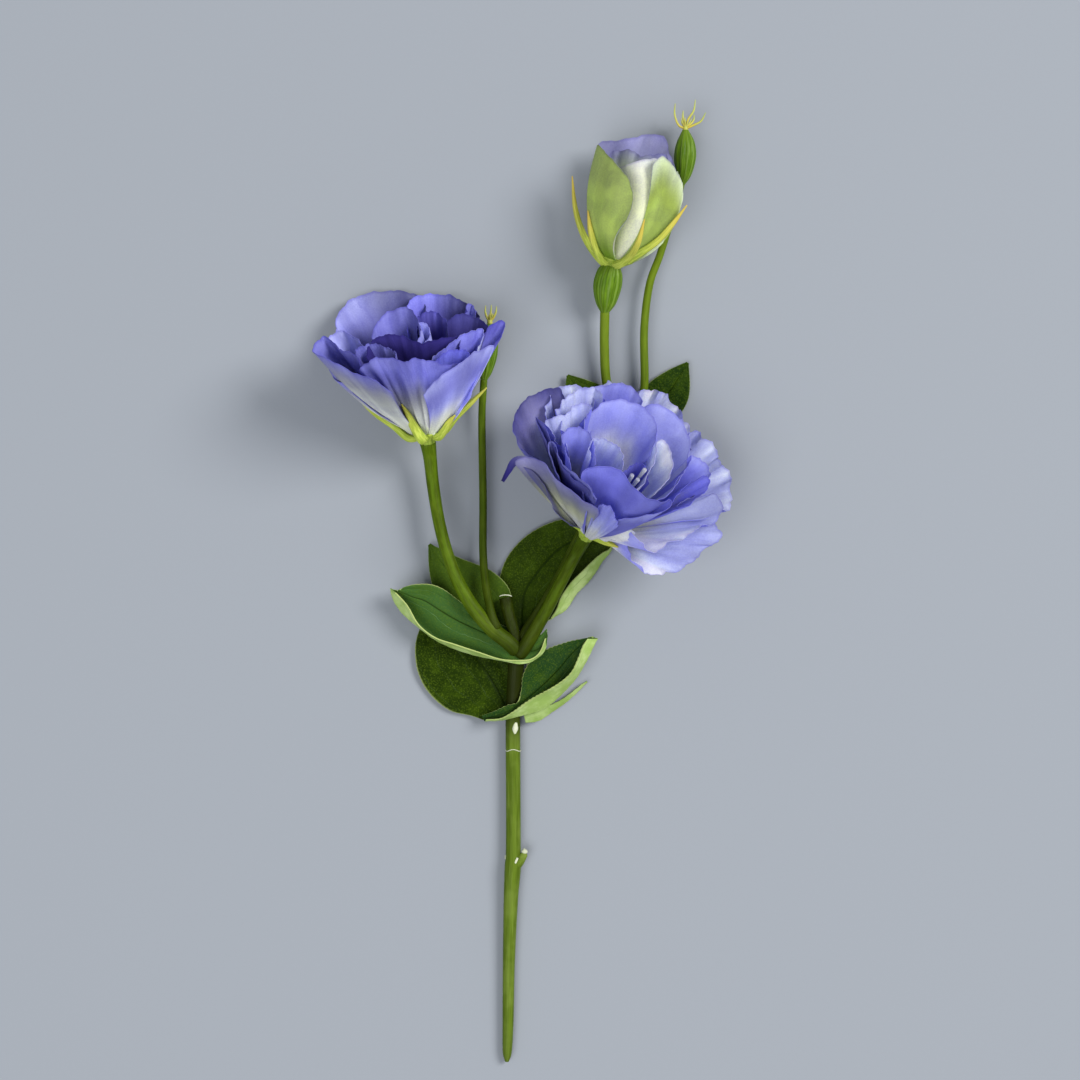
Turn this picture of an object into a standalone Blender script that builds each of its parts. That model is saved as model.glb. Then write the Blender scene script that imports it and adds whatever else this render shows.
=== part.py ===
"""A cut spray of lisianthus, lying on a surface: two open double blooms, a bud, two pods and leaves.
Sizes below are in mm; the model is in metres, +Z up."""
import math

import bpy
import bmesh
import numpy as np
from mathutils import Matrix

# ---------------------------------------------------------------- sizes, in mm
# The spray lies on a surface at z = 0, with its stem along +Y and the flowers at the +Y end.
SHIFT = (5.757, 15.444, -0.001)       # puts the middle of the whole spray over the origin
GAP = 0.3                       # left between pieces that sit on each other
PETAL_THICK = 0.75
LEAF_THICK = 0.8

# stems: (x, y, z, radius) along each one
STEMS = {
    "main_stem": [(-12.0, -189.2, 2.0, 0.8), (-11.9, -185.8, 2.0, 1.65), (-11.6, -174.7, 2.1, 2.0),
                  (-11.3, -153.0, 2.25, 2.2),
                  (-10.6, -131.0, 2.6, 2.6), (-9.9, -119.0, 3.0, 2.95), (-9.7, -113.0, 2.75, 2.72),
                  (-9.7, -94.6, 2.7, 2.66),
                  (-9.8, -76.4, 2.7, 2.66), (-9.8, -63.7, 3.0, 2.66), (-9.2, -51.0, 3.9, 2.7),
                  (-8.4, -42.5, 5.0, 3.0), (-7.9, -37.8, 5.8, 2.7)],
    "upper_stem": [(-7.6, -37.0, 5.9, 2.3), (-3.4, -31.0, 5.2, 2.2), (2.2, -22.6, 4.6, 2.15),
                   (8.2, -11.6, 4.2, 2.1), (13.4, -1.0, 3.7, 2.05), (19.6, 12.0, 3.1, 2.0),
                   (26.4, 29.0, 2.8, 2.0), (30.6, 42.0, 3.0, 2.3)],
    "branch_left": [(-8.6, -39.6, 7.6, 2.9), (-11.6, -36.6, 8.8, 2.9), (-17.6, -31.8, 10.0, 2.75),
                    (-25.3, -22.5, 11.0, 2.5), (-31.6, -10.0, 11.2, 2.3),
                    (-35.9, 4.6, 10.8, 2.2), (-38.4, 19.0, 10.2, 2.25), (-39.5, 29.5, 11.7, 2.45),
                    (-40.2, 34.9, 14.15, 2.95)],
    "branch_right": [(-7.2, -41.2, 7.8, 2.6), (-4.4, -36.8, 9.4, 2.55), (1.4, -26.8, 10.8, 2.4),
                     (7.4, -15.2, 11.4, 2.3), (12.4, -5.8, 12.4, 2.35), (16.2, 1.0, 17.2, 2.6)],
    "pod_stem_left": [(-15.4, -31.4, 11.2, 1.5), (-17.4, -26.6, 11.5, 1.5), (-19.6, -16.0, 8.6, 1.47),
                      (-20.6, -4.0, 6.2, 1.43), (-20.6, 14.6, 5.4, 1.4), (-21.0, 43.4, 6.2, 1.35),
                      (-20.3, 57.6, 7.4, 1.3)],
    "bud_stem": [(30.0, 43.6, 3.1, 1.8), (26.6, 49.6, 3.4, 1.75), (24.0, 58.0, 4.4, 1.7),
                 (23.3, 70.0, 6.0, 1.68), (23.4, 82.0, 7.6, 1.7)],
    "pod_stem_right": [(31.8, 43.8, 3.1, 1.6), (35.4, 48.4, 3.5, 1.55), (37.8, 56.0, 4.2, 1.5),
                       (37.7, 76.0, 5.2, 1.45), (39.6, 92.2, 5.6, 1.4),
                       (43.5, 103.4, 5.9, 1.35), (47.8, 117.4, 6.6, 1.3), (51.0, 128.2, 7.4, 1.25)],
    "empty_socket": [(-8.8, -36.6, 7.6, 2.0), (-9.8, -32.0, 7.8, 2.1), (-11.6, -25.6, 7.8, 2.25),
                     (-12.4, -21.0, 7.8, 2.35)],
}
STUB = [(-9.4, -118.4, 3.2, 2.1), (-7.6, -116.6, 3.5, 1.9), (-5.6, -113.9, 3.8, 1.25)]
SOCKET_BORE = 1.5
SOCKET_DEPTH = 4.0

# ribbed swellings: (x, y, z, radius) along each one
PODS = {
    "bud_ovary": [(23.4, 82.5, 7.7, 1.7), (23.7, 85.6, 8.4, 3.5), (24.2, 91.0, 9.8, 4.8),
                  (25.0, 95.6, 11.0, 4.5), (25.7, 98.6, 11.9, 3.2)],
    "pod_left": [(-20.2, 58.2, 7.5, 1.3), (-19.8, 61.2, 7.8, 2.5), (-19.0, 67.0, 8.3, 3.4),
                 (-18.3, 73.0, 8.6, 2.9), (-18.1, 77.6, 8.7, 1.2)],
    "pod_right": [(51.15, 128.7, 7.5, 1.25), (51.8, 132.4, 8.1, 2.8), (52.3, 138.2, 8.8, 3.75),
                  (52.5, 143.2, 9.2, 3.1), (52.4, 147.4, 9.4, 1.2)],
}
POD_RIBS = (8, 0.14)           # how many, and how deep as a share of the radius
KNOB_LENGTH = 1.3
HAIR_RADII = (0.48, 0.42, 0.32)

# tufts on the pods: root, then tips of the hairs
TUFTS = {
    "pod_hairs_right": {"root": (52.4, 147.9, 9.4), "along": (0.0, 1.0, 0.05), "radius": 0.95,
                        "hairs": [[(-2.5, 1.6, 0.4), (-3.9, 5.2, 1.2), (-3.8, 9.0, 2.2)],
                                  [(1.0, 3.6, 0.8), (2.9, 6.6, 1.4), (3.5, 10.4, 1.8)],
                                  [(3.0, 1.6, 0.2), (5.6, 3.0, 0.6), (7.2, 5.8, 1.6)],
                                  [(-0.6, 2.6, 0.8), (-1.0, 4.6, 1.6), (-0.9, 6.4, 2.2)],
                                  [(1.6, 1.8, -0.6), (3.0, 3.6, -1.0), (3.2, 5.4, -0.8)]]},
    "pod_hairs_left": {"root": (-18.1, 78.2, 8.7), "along": (0.02, 1.0, 0.03), "radius": 0.95,
                       "hairs": [[(-1.0, 2.0, 0.3), (-1.6, 4.0, 0.8), (-1.5, 6.2, 1.2)],
                                 [(0.1, 2.2, 0.5), (0.4, 4.2, 1.0), (0.6, 6.4, 1.6)],
                                 [(1.3, 2.0, 0.2), (2.2, 3.9, 0.5), (2.4, 6.0, 0.6)]]},
}

# three leaves by their lines, each from stalk to tip: one edge, the midrib, the fold and the other edge
LEAF_LINES = {
    "leaf_lower_right": [
        [(-21, -63.5, 5.4), (-16.5, -62, 6.8), (-12, -60, 7.6), (-8, -58.5, 7.8), (-6.5, -54, 6.2),
         (-6, -49.5, 4.6),
         (-3.5, -44.5, 3.2), (2, -40, 5.4), (10, -37, 8.4), (16.5, -35.5, 10.6), (19, -35, 11.2)],
        [(-20.5, -64.5, 5), (-15.5, -63.5, 6.6), (-11, -61.5, 7.4), (-5.5, -58, 6.4), (1, -52.5, 5.6),
         (6.5, -47, 6),
         (11.5, -41, 8), (17, -36, 10.6), (19.5, -35, 11.3)],
        [(-20, -65.5, 4.6), (-13.5, -65, 5), (-7, -63.5, 5.2), (1, -61.5, 4.4), (7, -56.5, 4.4),
         (12.5, -50.5, 5.8),
         (16.5, -44, 8), (19, -38.5, 10.2), (20.5, -35.5, 11.4)],
        [(-19.5, -65, 7), (-14.5, -64.5, 8), (-10.5, -62.5, 9.2), (-4.5, -58.5, 11.2), (3.5, -53.5, 13),
         (11, -48, 14),
         (14, -42.5, 14), (15.5, -38, 13), (17, -35.5, 12.2)],
    ],
    "leaf_mid_left": [
        [(2.5, -32, 9.6), (-0.5, -34.5, 8.4), (-6.5, -34.5, 6.4), (-12.5, -31.5, 6), (-21, -27, 6),
         (-28, -23, 7.2),
         (-34.5, -18, 8.6), (-39.5, -16, 9.4), (-45, -16, 9.7), (-49, -17, 9.7), (-50, -18, 9.4)],
        [(2.5, -33.5, 9.4), (1, -38, 8.6), (-2.5, -40, 8.3), (-7, -39.5, 7.9), (-14.5, -36, 7.2),
         (-22.5, -32.5, 6.4),
         (-30, -29, 6.2), (-36, -25.5, 6.2), (-41.5, -22, 6.6), (-46, -20.5, 7.4), (-49.5, -19, 8.6),
         (-52, -18, 9)],
        [(2.5, -35, 8.8), (1.5, -40, 8.4), (-2.5, -43.5, 8.6), (-7, -44.5, 9.2), (-12.5, -43.5, 8.4),
         (-17, -42.5, 6.2),
         (-22.5, -41.5, 4.6), (-31, -39, 3.9), (-38, -35.5, 3.8), (-44.5, -30.5, 4), (-50, -26, 4.8),
         (-53, -21.5, 6.4),
         (-54, -17.5, 8.6)],
        [(2, -35.5, 10), (0, -40.5, 10), (-3, -43, 10.2), (-7, -43.5, 10.4), (-13.5, -43, 9.8),
         (-21.5, -40.5, 8.6),
         (-30.5, -38, 8.8), (-37.5, -35.5, 9.4), (-43.5, -30.5, 10.2), (-47.5, -24, 10.8),
         (-50.5, -20.5, 11), (-52, -19, 11)],
    ],
    "leaf_upper_right": [
        [(-10, -31.5, 3.4), (-13.5, -25.5, 1.6), (-15, -19, 1.1), (-14, -11.5, 1.1), (-11, -5, 1.1),
         (-5.5, 1, 1.2),
         (2, 5.5, 1.2), (10, 7.5, 1.6), (18, 4.5, 2.4), (22.5, 2, 3), (24.5, 0.5, 3.3)],
        [(-6.5, -32.5, 3.4), (-6.5, -25.5, 1.6), (-5.5, -19, 1.1), (-1.5, -12.5, 0.9), (3, -7, 0.8),
         (8, -2.5, 0.7),
         (13.5, 0, 0.8), (18.5, 0.5, 1.6), (22.5, 0.5, 2.6), (25.5, -0.5, 3.4)],
        [(3.5, -29, 2.6), (5.5, -27.5, 1.4), (8.5, -25.5, 1), (12.5, -20, 1), (17, -15, 1.2),
         (20, -11, 1.6),
         (22.5, -7.5, 2), (25, -4.5, 2.6), (26.5, -1.5, 3.5)],
        [(4, -28.5, 3), (6, -25, 4.4), (7.5, -21, 5.6), (10, -17.5, 6.4), (13, -13.5, 6.8), (17, -9.5, 6.8),
         (22.5, -5, 6), (25, -3.5, 5), (26, -2, 4.8)],
    ],
}

# the other leaves: midrib, half widths from stalk to tip, slopes of each half at midrib and at edge
LEAVES = {
    "leaf_lower_left": {"path": [(-12.0, -60.8, 2.2), (-15.6, -54.0, 1.2), (-21.6, -44.6, 0.8),
                                 (-29.4, -32.6, 0.8), (-37.6, -20.4, 1.0)],
                        "left": (9.8, 17.4, 20.9, 21.7, 19.6, 13.8, 0.3),
                        "right": (2.0, 6.0, 9.5, 11.5, 11.0, 8.0, 0.3),
                        "slope_left": ((-2, 1, 2, 2), (2, 3, 4, 4)),
                        "slope_right": ((4, 2, 1, 1), (2, 2, 2, 2)), "wave": (0.25, 2.0, 0.4)},
    "leaf_lower_right": {"lines": LEAF_LINES["leaf_lower_right"], "wave": (0.3, 2.2, 1.0)},
    "leaf_mid_left": {"lines": LEAF_LINES["leaf_mid_left"], "wave": (0.3, 2.2, 1.0)},
    "leaf_upper_left": {"path": [(-11.0, -37.6, 4.6), (-17.2, -30.0, 3.6), (-25.0, -20.6, 2.9),
                                 (-33.0, -11.6, 2.4), (-40.2, -1.6, 2.4)],
                        "left": (1.6, 6.2, 9.8, 10.6, 9.0, 5.4, 0.3),
                        "right": (1.6, 8.0, 12.4, 12.0, 8.6, 4.6, 0.3),
                        "slope_left": ((4, 2, 4, 6), (4, 6, 8, 8)),
                        "slope_right": ((4, 2, 2, 4), (6, 6, 8, 10)), "wave": (0.3, 2.0, 0.9)},
    "leaf_upper_right": {"lines": LEAF_LINES["leaf_upper_right"], "wave": (0.3, 2.2, 1.0)},
    "bract_lower": {"path": [(-5.6, -64.6, 3.0), (-1.4, -63.6, 2.6), (3.2, -61.6, 2.1), (8.2, -58.8, 1.9),
                             (12.7, -55.2, 1.9), (15.6, -52.6, 2.1), (17.1, -51.4, 2.4)],
                    "left": (1.6, 2.2, 1.5, 1.0, 0.8, 0.6, 0.3),
                    "right": (1.8, 2.2, 1.5, 1.0, 0.8, 0.6, 0.3),
                    "slope_left": ((10, 10), (20, 20)), "slope_right": ((10, 10), (20, 20)),
                    "wave": (0.1, 2.0, 0.0)},
    "leaf_top_right": {"path": [(34.2, 42.4, 2.0), (40.4, 46.8, 1.2), (47.0, 54.0, 1.2), (53.6, 64.4, 2.2)],
                       "left": (1.4, 5.0, 7.4, 7.2, 4.6, 0.3), "right": (1.4, 5.6, 8.2, 7.6, 4.6, 0.3),
                       "slope_left": ((8, 6, 6), (14, 14, 14)), "slope_right": ((6, 4, 4), (10, 10, 14)),
                       "wave": (0.25, 2.0, 0.5)},
    "leaf_top_left": {"path": [(27.2, 42.6, 2.0), (21.6, 46.6, 1.2), (15.6, 52.2, 1.2), (10.0, 59.8, 2.2)],
                      "left": (1.4, 5.0, 7.6, 7.2, 4.6, 0.3), "right": (1.4, 5.0, 7.2, 7.0, 4.4, 0.3),
                      "slope_left": ((8, 6, 6), (12, 12, 12)), "slope_right": ((6, 4, 4), (10, 12, 12)),
                      "wave": (0.25, 2.0, 1.5)},
}

FLOWERS = {
    "bloom_left": {"base": (-40.5, 36.9, 15.2),
                   "heading": -9.0, "raised": 29.0, "root_r": 4.8, "root_h": 2.2},
    "bloom_right": {"base": (17.0, 2.4, 18.8),
                    "heading": 27.0, "raised": 45.0, "root_r": 4.8, "root_h": 2.2},
    "bloom_bud": {"base": (26.8, 99.6, 13.4),
                  "heading": 14.0, "raised": 14.0, "root_r": 6.4, "root_h": 1.6},
}

# petals: how far each bellies outward, and its edge (x, y, z) from one side round to the other
PETALS = {
    "bloom_left": {
        "back left": (3.5, [
            (-65, 60.5, 24), (-72, 71, 16), (-73.5, 78.5, 11), (-71.5, 84, 7), (-67, 88, 4), (-60, 90, 2.6),
            (-52.5, 90.5, 2.2), (-46, 89.5, 2.2), (-42, 86, 5), (-40, 78.5, 12)]),
        "back right": (3.5, [
            (-47, 75, 20), (-48.5, 80, 13), (-48, 84.5, 9), (-46, 87.5, 6), (-42, 89, 4.5), (-36.5, 89, 4),
            (-32, 88.5, 5), (-27.5, 86, 7), (-24, 83, 10), (-22.5, 79.5, 14), (-23.5, 72.5, 20)]),
        "back fold": (2, [
            (-27.5, 76.5, 18), (-26.5, 83.5, 13), (-25, 85, 12), (-23.5, 82.5, 13.5), (-22.5, 79, 16.5)]),
        "left inside": (2.5, [
            (-66, 63, 34), (-73, 67, 31), (-74.5, 70.5, 29), (-73, 73, 27), (-70, 74, 26.5), (-66, 72, 28),
            (-62.5, 69, 31), (-61, 65, 35)]),
        "centre": (3.5, [
            (-57.5, 66.5, 30), (-59, 72, 27), (-58, 76.5, 24), (-55.5, 80, 22), (-52, 82, 21),
            (-47.5, 83, 21),
            (-45, 81, 22), (-43, 77, 25), (-41.5, 72, 29), (-41.5, 67.5, 33)]),
        "centre right": (2.5, [
            (-43, 72, 26), (-43.5, 76, 23), (-43, 79.5, 20), (-40.5, 81.5, 18.5), (-37, 81.5, 18.5),
            (-34, 79, 20), (-33.5, 75.5, 23)]),
        "right inner": (3, [
            (-39, 67.5, 35), (-39, 70.5, 32), (-35.5, 75.5, 28), (-31.5, 79, 25.5), (-28, 80.5, 24.5),
            (-23.5, 79, 25), (-19.5, 77, 27), (-19.5, 73.5, 28.5), (-23.5, 69.5, 29.5)]),
        "curled strip": (2, [
            (-44.5, 67, 38), (-43.5, 69.5, 36), (-42, 73, 34), (-42.5, 76.5, 32), (-40.5, 76, 32),
            (-38.5, 73, 33), (-39.5, 70.5, 35), (-41.5, 68, 37)]),
        "front inner": (1.5, [
            (-61, 64, 40), (-60, 68, 39), (-57.5, 70.5, 39), (-53.5, 71.5, 39.5), (-49, 71.5, 40),
            (-44.5, 69.5, 40), (-41, 68.5, 40), (-38, 69.5, 39.5), (-33, 70.5, 38), (-28, 71, 37),
            (-27.5, 67, 38)]),
        "left fold": (1.5, [
            (-63.5, 63, 42), (-64.5, 66, 40), (-61, 68, 40), (-57, 68, 40.5), (-53, 67, 41),
            (-50, 65.5, 42), (-50, 63, 43)]),
        "far left inside": (1.5, [
            (-75.5, 62.5, 37.5), (-79, 65.5, 39), (-78.5, 68.5, 38), (-76, 71, 36), (-73.5, 70, 37),
            (-69.5, 67, 40), (-64.5, 64.5, 43), (-62.5, 61.5, 45), (-61.5, 58.5, 46)]),
        "right blue": (2.5, [
            (-35, 60, 44), (-37, 62.5, 43), (-34, 66, 41), (-30.5, 69.5, 39), (-26, 72.5, 37),
            (-20, 74, 34),
            (-20.5, 69.5, 35), (-23, 65.5, 38)]),
        "right deep": (1.5, [
            (-33.5, 59, 46), (-36.5, 61.5, 46), (-35, 63.5, 45.5), (-31, 66, 44), (-26, 66, 42),
            (-25, 64, 43),
            (-27.5, 60.5, 45)]),
        "far right tip": (2, [
            (-23.5, 62.5, 30), (-21.5, 67.5, 30), (-21, 71.5, 29), (-18, 75.5, 28), (-14.5, 77.5, 27),
            (-13, 77.5, 26.5), (-13, 75.5, 27), (-14, 72, 28), (-16, 68.5, 30), (-18.5, 66, 31)]),
        "front middle": (1.2, [
            (-63, 59, 46), (-60.5, 61, 48.5), (-57, 63.5, 50), (-54.5, 62.5, 50), (-50.5, 62, 50.5),
            (-46.5, 61.5, 51), (-43, 62.5, 51), (-39.5, 62, 50.5), (-35, 61, 50), (-30.5, 61, 49),
            (-27.5, 61, 46)]),
        "front left": (2.2, [
            (-54, 42.5, 26), (-60, 47, 29), (-65.5, 52, 32), (-68, 55, 33), (-72.5, 57, 34), (-75, 62, 38),
            (-78.5, 65, 42), (-73.5, 62.5, 46), (-64, 58, 50), (-56.5, 55, 52), (-51, 51, 50)]),
        "front right": (2.5, [
            (-40, 49.5, 47), (-38, 52.5, 50), (-34, 56.5, 52), (-28.5, 60, 52), (-24.5, 63, 50),
            (-20.5, 66, 46),
            (-16, 68, 40), (-17, 65, 38), (-19.5, 61, 36.5), (-21.5, 56.5, 35), (-24, 51.5, 33),
            (-27.5, 47, 30),
            (-30.5, 43, 27)]),
    },
    "bloom_right": {
        "top fringe": (3.5, [
            (24.5, 42.5, 20), (23, 55.5, 13), (28, 56.5, 12.5), (33.5, 54.5, 12), (37.5, 53.5, 12),
            (42.5, 54, 12),
            (47.5, 49.5, 13), (52, 43.5, 15), (53, 38.5, 17), (48, 32, 24)]),
        "right fringe": (3, [
            (46.5, 20, 26), (54, 38, 17), (59, 36.5, 17), (63.5, 31.5, 18), (64, 27, 20), (67, 25.5, 21),
            (68, 19.5, 23), (67, 13.5, 26), (63.5, 9, 29), (57.5, 8, 33)]),
        "far left": (3, [
            (4.5, 20, 34), (2, 26.5, 34), (-3, 29.5, 35), (-8, 33, 35), (-9.5, 38, 34), (-8.5, 44.5, 31),
            (-4.5, 50, 28), (1.5, 53, 25), (7, 54, 24), (10, 47, 26)]),
        "top violet": (3, [
            (17.5, 39.5, 28), (15.5, 52.5, 20), (19.5, 54.5, 18), (24.5, 55.5, 17), (30, 56, 16.5),
            (34.5, 53, 17),
            (36.5, 48, 20), (34.5, 39.5, 27)]),
        "left ruffle 1": (3, [
            (7.5, 31.5, 36), (2.5, 41, 31), (2.5, 47, 27), (4.5, 52.5, 23), (9, 55, 21), (13.5, 55, 20),
            (18.5, 53.5, 20), (19.5, 49, 25)]),
        "left ruffle 2": (3, [
            (10, 33, 38), (6.5, 43.5, 33), (7.5, 48.5, 30), (11, 52, 27), (15.5, 54, 25), (20, 53.5, 25),
            (22, 50.5, 28)]),
        "left ruffle 3": (2.5, [
            (9, 29.5, 42), (2.5, 41, 36), (5, 43.5, 35), (9, 44.5, 34), (11.5, 47, 33), (17.5, 48, 33),
            (16.5, 44.5, 36), (15, 39.5, 39)]),
        "right inner": (3.5, [
            (34, 16.5, 44), (37.5, 30.5, 36), (36, 46, 27), (41.5, 48, 25), (47, 45.5, 24),
            (51.5, 39.5, 25),
            (53, 33.5, 27), (52, 27.5, 30), (49, 21.5, 35), (44.5, 16, 41), (40.5, 13.5, 45)]),
        "back inner": (3.5, [
            (19, 26.5, 38), (14.5, 39, 34), (15, 41.5, 33), (18, 45, 32), (22.5, 48.5, 31),
            (28, 49.5, 30.5),
            (33.5, 48, 30.5), (37.5, 46, 31), (41, 39, 33), (39, 29, 38)]),
        "throat ring": (0.5, [
            (29, 18.5, 42), (29, 23, 40), (31.5, 25.5, 39), (35.5, 26.5, 39), (37.5, 24.5, 40),
            (38, 19.5, 43)]),
        "throat curl": (1, [
            (32, 16.5, 46), (35.5, 19.5, 45), (39, 24.5, 41.5), (41, 30, 39), (41, 34, 37.5), (43, 35, 37),
            (45.5, 32.5, 37.5), (46.5, 28, 39.5), (45.5, 23, 42.5), (42, 18, 45.5), (39.5, 16, 47)]),
        "right lavender": (2.5, [
            (46, 16.5, 38), (52.5, 27.5, 31), (53.5, 30, 30), (58.5, 27, 29), (60, 22.5, 31),
            (56, 20, 35)]),
        "left inner 1": (2.5, [
            (11, 24.5, 46.5), (10, 28, 46), (7.5, 35.5, 42), (10, 39, 40.5), (14, 39.5, 40),
            (17.5, 36.5, 42),
            (18.5, 31, 45), (19, 26, 47)]),
        "left inner 2": (2.5, [
            (17.5, 28.5, 46), (17.5, 34.5, 44), (21.5, 35.5, 43), (26.5, 32.5, 44.5), (29, 28, 47),
            (28.5, 24, 49)]),
        "left edge 1": (1.5, [
            (4.5, 26.5, 45), (2.5, 31.5, 43), (-1.5, 42.5, 38), (0.5, 40.5, 40), (3.5, 34.5, 43),
            (7.5, 26, 49),
            (11.5, 21.5, 53), (16, 18, 56), (19.5, 13.5, 57)]),
        "left edge 2": (1.5, [
            (6, 22, 50), (4.5, 27, 47), (3, 33.5, 44), (5, 33, 45), (8, 26, 50), (12.5, 22.5, 54),
            (17, 18.5, 57),
            (19.5, 14, 58)]),
        "right violet": (1.5, [
            (40.5, 11.5, 46), (45.5, 13, 44), (49, 17, 41), (53, 20, 39), (57.5, 22.5, 37),
            (59.5, 21, 36.5),
            (58, 16.5, 38), (52, 12.5, 41), (46, 10.5, 44)]),
        "lower right": (2, [
            (29, 5.5, 36), (32.5, 2.5, 38), (36, -2.5, 38.5), (40, -4.5, 38.5), (44, -2, 38.5),
            (49, 0.5, 38),
            (54.5, 4, 36.5), (61, 6.5, 34), (64, 9.5, 32.5), (63, 15, 32), (57.5, 16.5, 34),
            (47.5, 12.5, 40)]),
        "lowest": (2, [
            (26, 0.5, 26), (30, 0.5, 28.5), (32.5, -6, 30.5), (36, -10, 31), (41, -12, 31.2),
            (48.5, -11, 31),
            (54, -7.5, 30), (58, -3.5, 29.5), (63, -0.5, 29), (64, 3, 28.5), (61.5, 6, 28.5)]),
        "front inner": (2, [
            (15.5, 9, 48), (14, 22, 54), (19, 25, 54.5), (25.5, 25, 55), (28.5, 22.5, 55.5), (32, 18, 56),
            (36.5, 14.5, 56), (42, 13, 54), (45, 14, 52), (43.5, 11, 52), (35.5, 8, 50), (27, 6.5, 48)]),
        "front base": (1, [
            (17.5, 6.5, 36), (21.5, 7.5, 39), (27.5, 5, 39.5), (32, 3, 39), (33, 0.5, 36), (29.5, -0.5, 31),
            (23, -0.5, 26)]),
        "front small": (1, [
            (18.5, 10.5, 47), (22, 12, 50.5), (25.5, 9.5, 51), (27, 5.5, 47), (26.5, 4, 43)]),
        "left outer": (1.5, [
            (12, 5, 28), (6.5, 9.5, 32), (2.5, 16.5, 38), (-1, 22.5, 42.5), (-5, 25, 44.5), (-8, 26, 45),
            (-8.5, 27.5, 46.5), (-4.5, 29, 47), (-0.5, 28, 48), (2.5, 25.5, 50), (5, 21, 52), (10, 18, 54),
            (15, 13.5, 55), (19.5, 11, 53), (20, 8, 46)]),
    },
    "bloom_bud": {
        "back": (3, [
            (23.5, 106, 8), (21, 115, 7), (20.5, 128.5, 9), (20.5, 141, 13), (25, 143.5, 13),
            (32, 144, 12.5),
            (39.5, 146, 12.5), (45.5, 143.5, 13), (46.5, 138.5, 13), (49, 131.5, 13), (49.5, 123.5, 12),
            (46.5, 113.5, 10), (41, 106, 9)]),
        "left side": (1.5, [
            (24, 101, 11), (20, 110.5, 10), (19, 119.5, 10), (19.5, 128, 12), (20.5, 136, 16),
            (23.5, 127, 20)]),
        "right side": (1.5, [
            (46, 126.5, 22), (49, 131.5, 18), (50.5, 127.5, 15), (50.5, 122, 13.5), (47.5, 115.5, 12),
            (42, 108, 11)]),
        "inner lilac": (2, [
            (24.5, 115.5, 21), (23, 132.5, 21), (25, 137.5, 22), (28, 138.5, 23), (32.5, 138, 25),
            (36.5, 136, 26),
            (42.5, 137, 25), (45.5, 134.5, 23), (43, 123, 24)]),
        "middle": (4.5, [
            (24.5, 101, 14), (23.5, 107.5, 14), (23.5, 116.5, 15), (24.5, 126, 18), (27, 131.5, 25.5),
            (31.5, 132.5, 30), (36.5, 134, 31), (41.5, 134.5, 28), (43.5, 130, 22), (44, 121, 17),
            (42, 112, 14),
            (39.5, 105.5, 13)]),
        "right": (4.5, [
            (37, 125, 34.5), (38, 129, 35), (42, 134.5, 33), (45.5, 133.5, 31), (48.5, 130, 27.5),
            (50.5, 126, 24.5),
            (50.5, 121, 22.5), (48.5, 116.5, 21.5), (45, 113.5, 21), (42.5, 110.5, 20.5), (39, 105, 18)]),
        "left": (4.5, [
            (22, 101, 16), (19.5, 107.5, 16.5), (19, 114, 16.5), (19, 121.5, 17.5), (19.5, 128, 19),
            (20, 134.5, 22),
            (20.5, 140, 24), (22.5, 137.5, 29), (25.5, 133.5, 32.5), (28.5, 130, 35), (31, 126, 36),
            (32.5, 121.5, 36),
            (32, 116.5, 35), (30.5, 112.5, 34)]),
    },
}

# green cups under the flowers: (along, radius) of each cup
CALYXES = {
    "calyx_left": {"flower": "bloom_left", "cup": [(-1.8, 2.9), (0.4, 3.6), (2.2, 4.7), (3.0, 4.9)]},
    "calyx_right": {"flower": "bloom_right", "cup": [(-1.8, 2.7), (0.4, 3.4), (2.2, 4.6), (3.0, 4.8)]},
    "calyx_bud": {"flower": "bloom_bud", "cup": [(-1.4, 2.6), (-0.4, 3.8), (0.8, 5.6), (1.4, 6.2)]},
}
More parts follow.
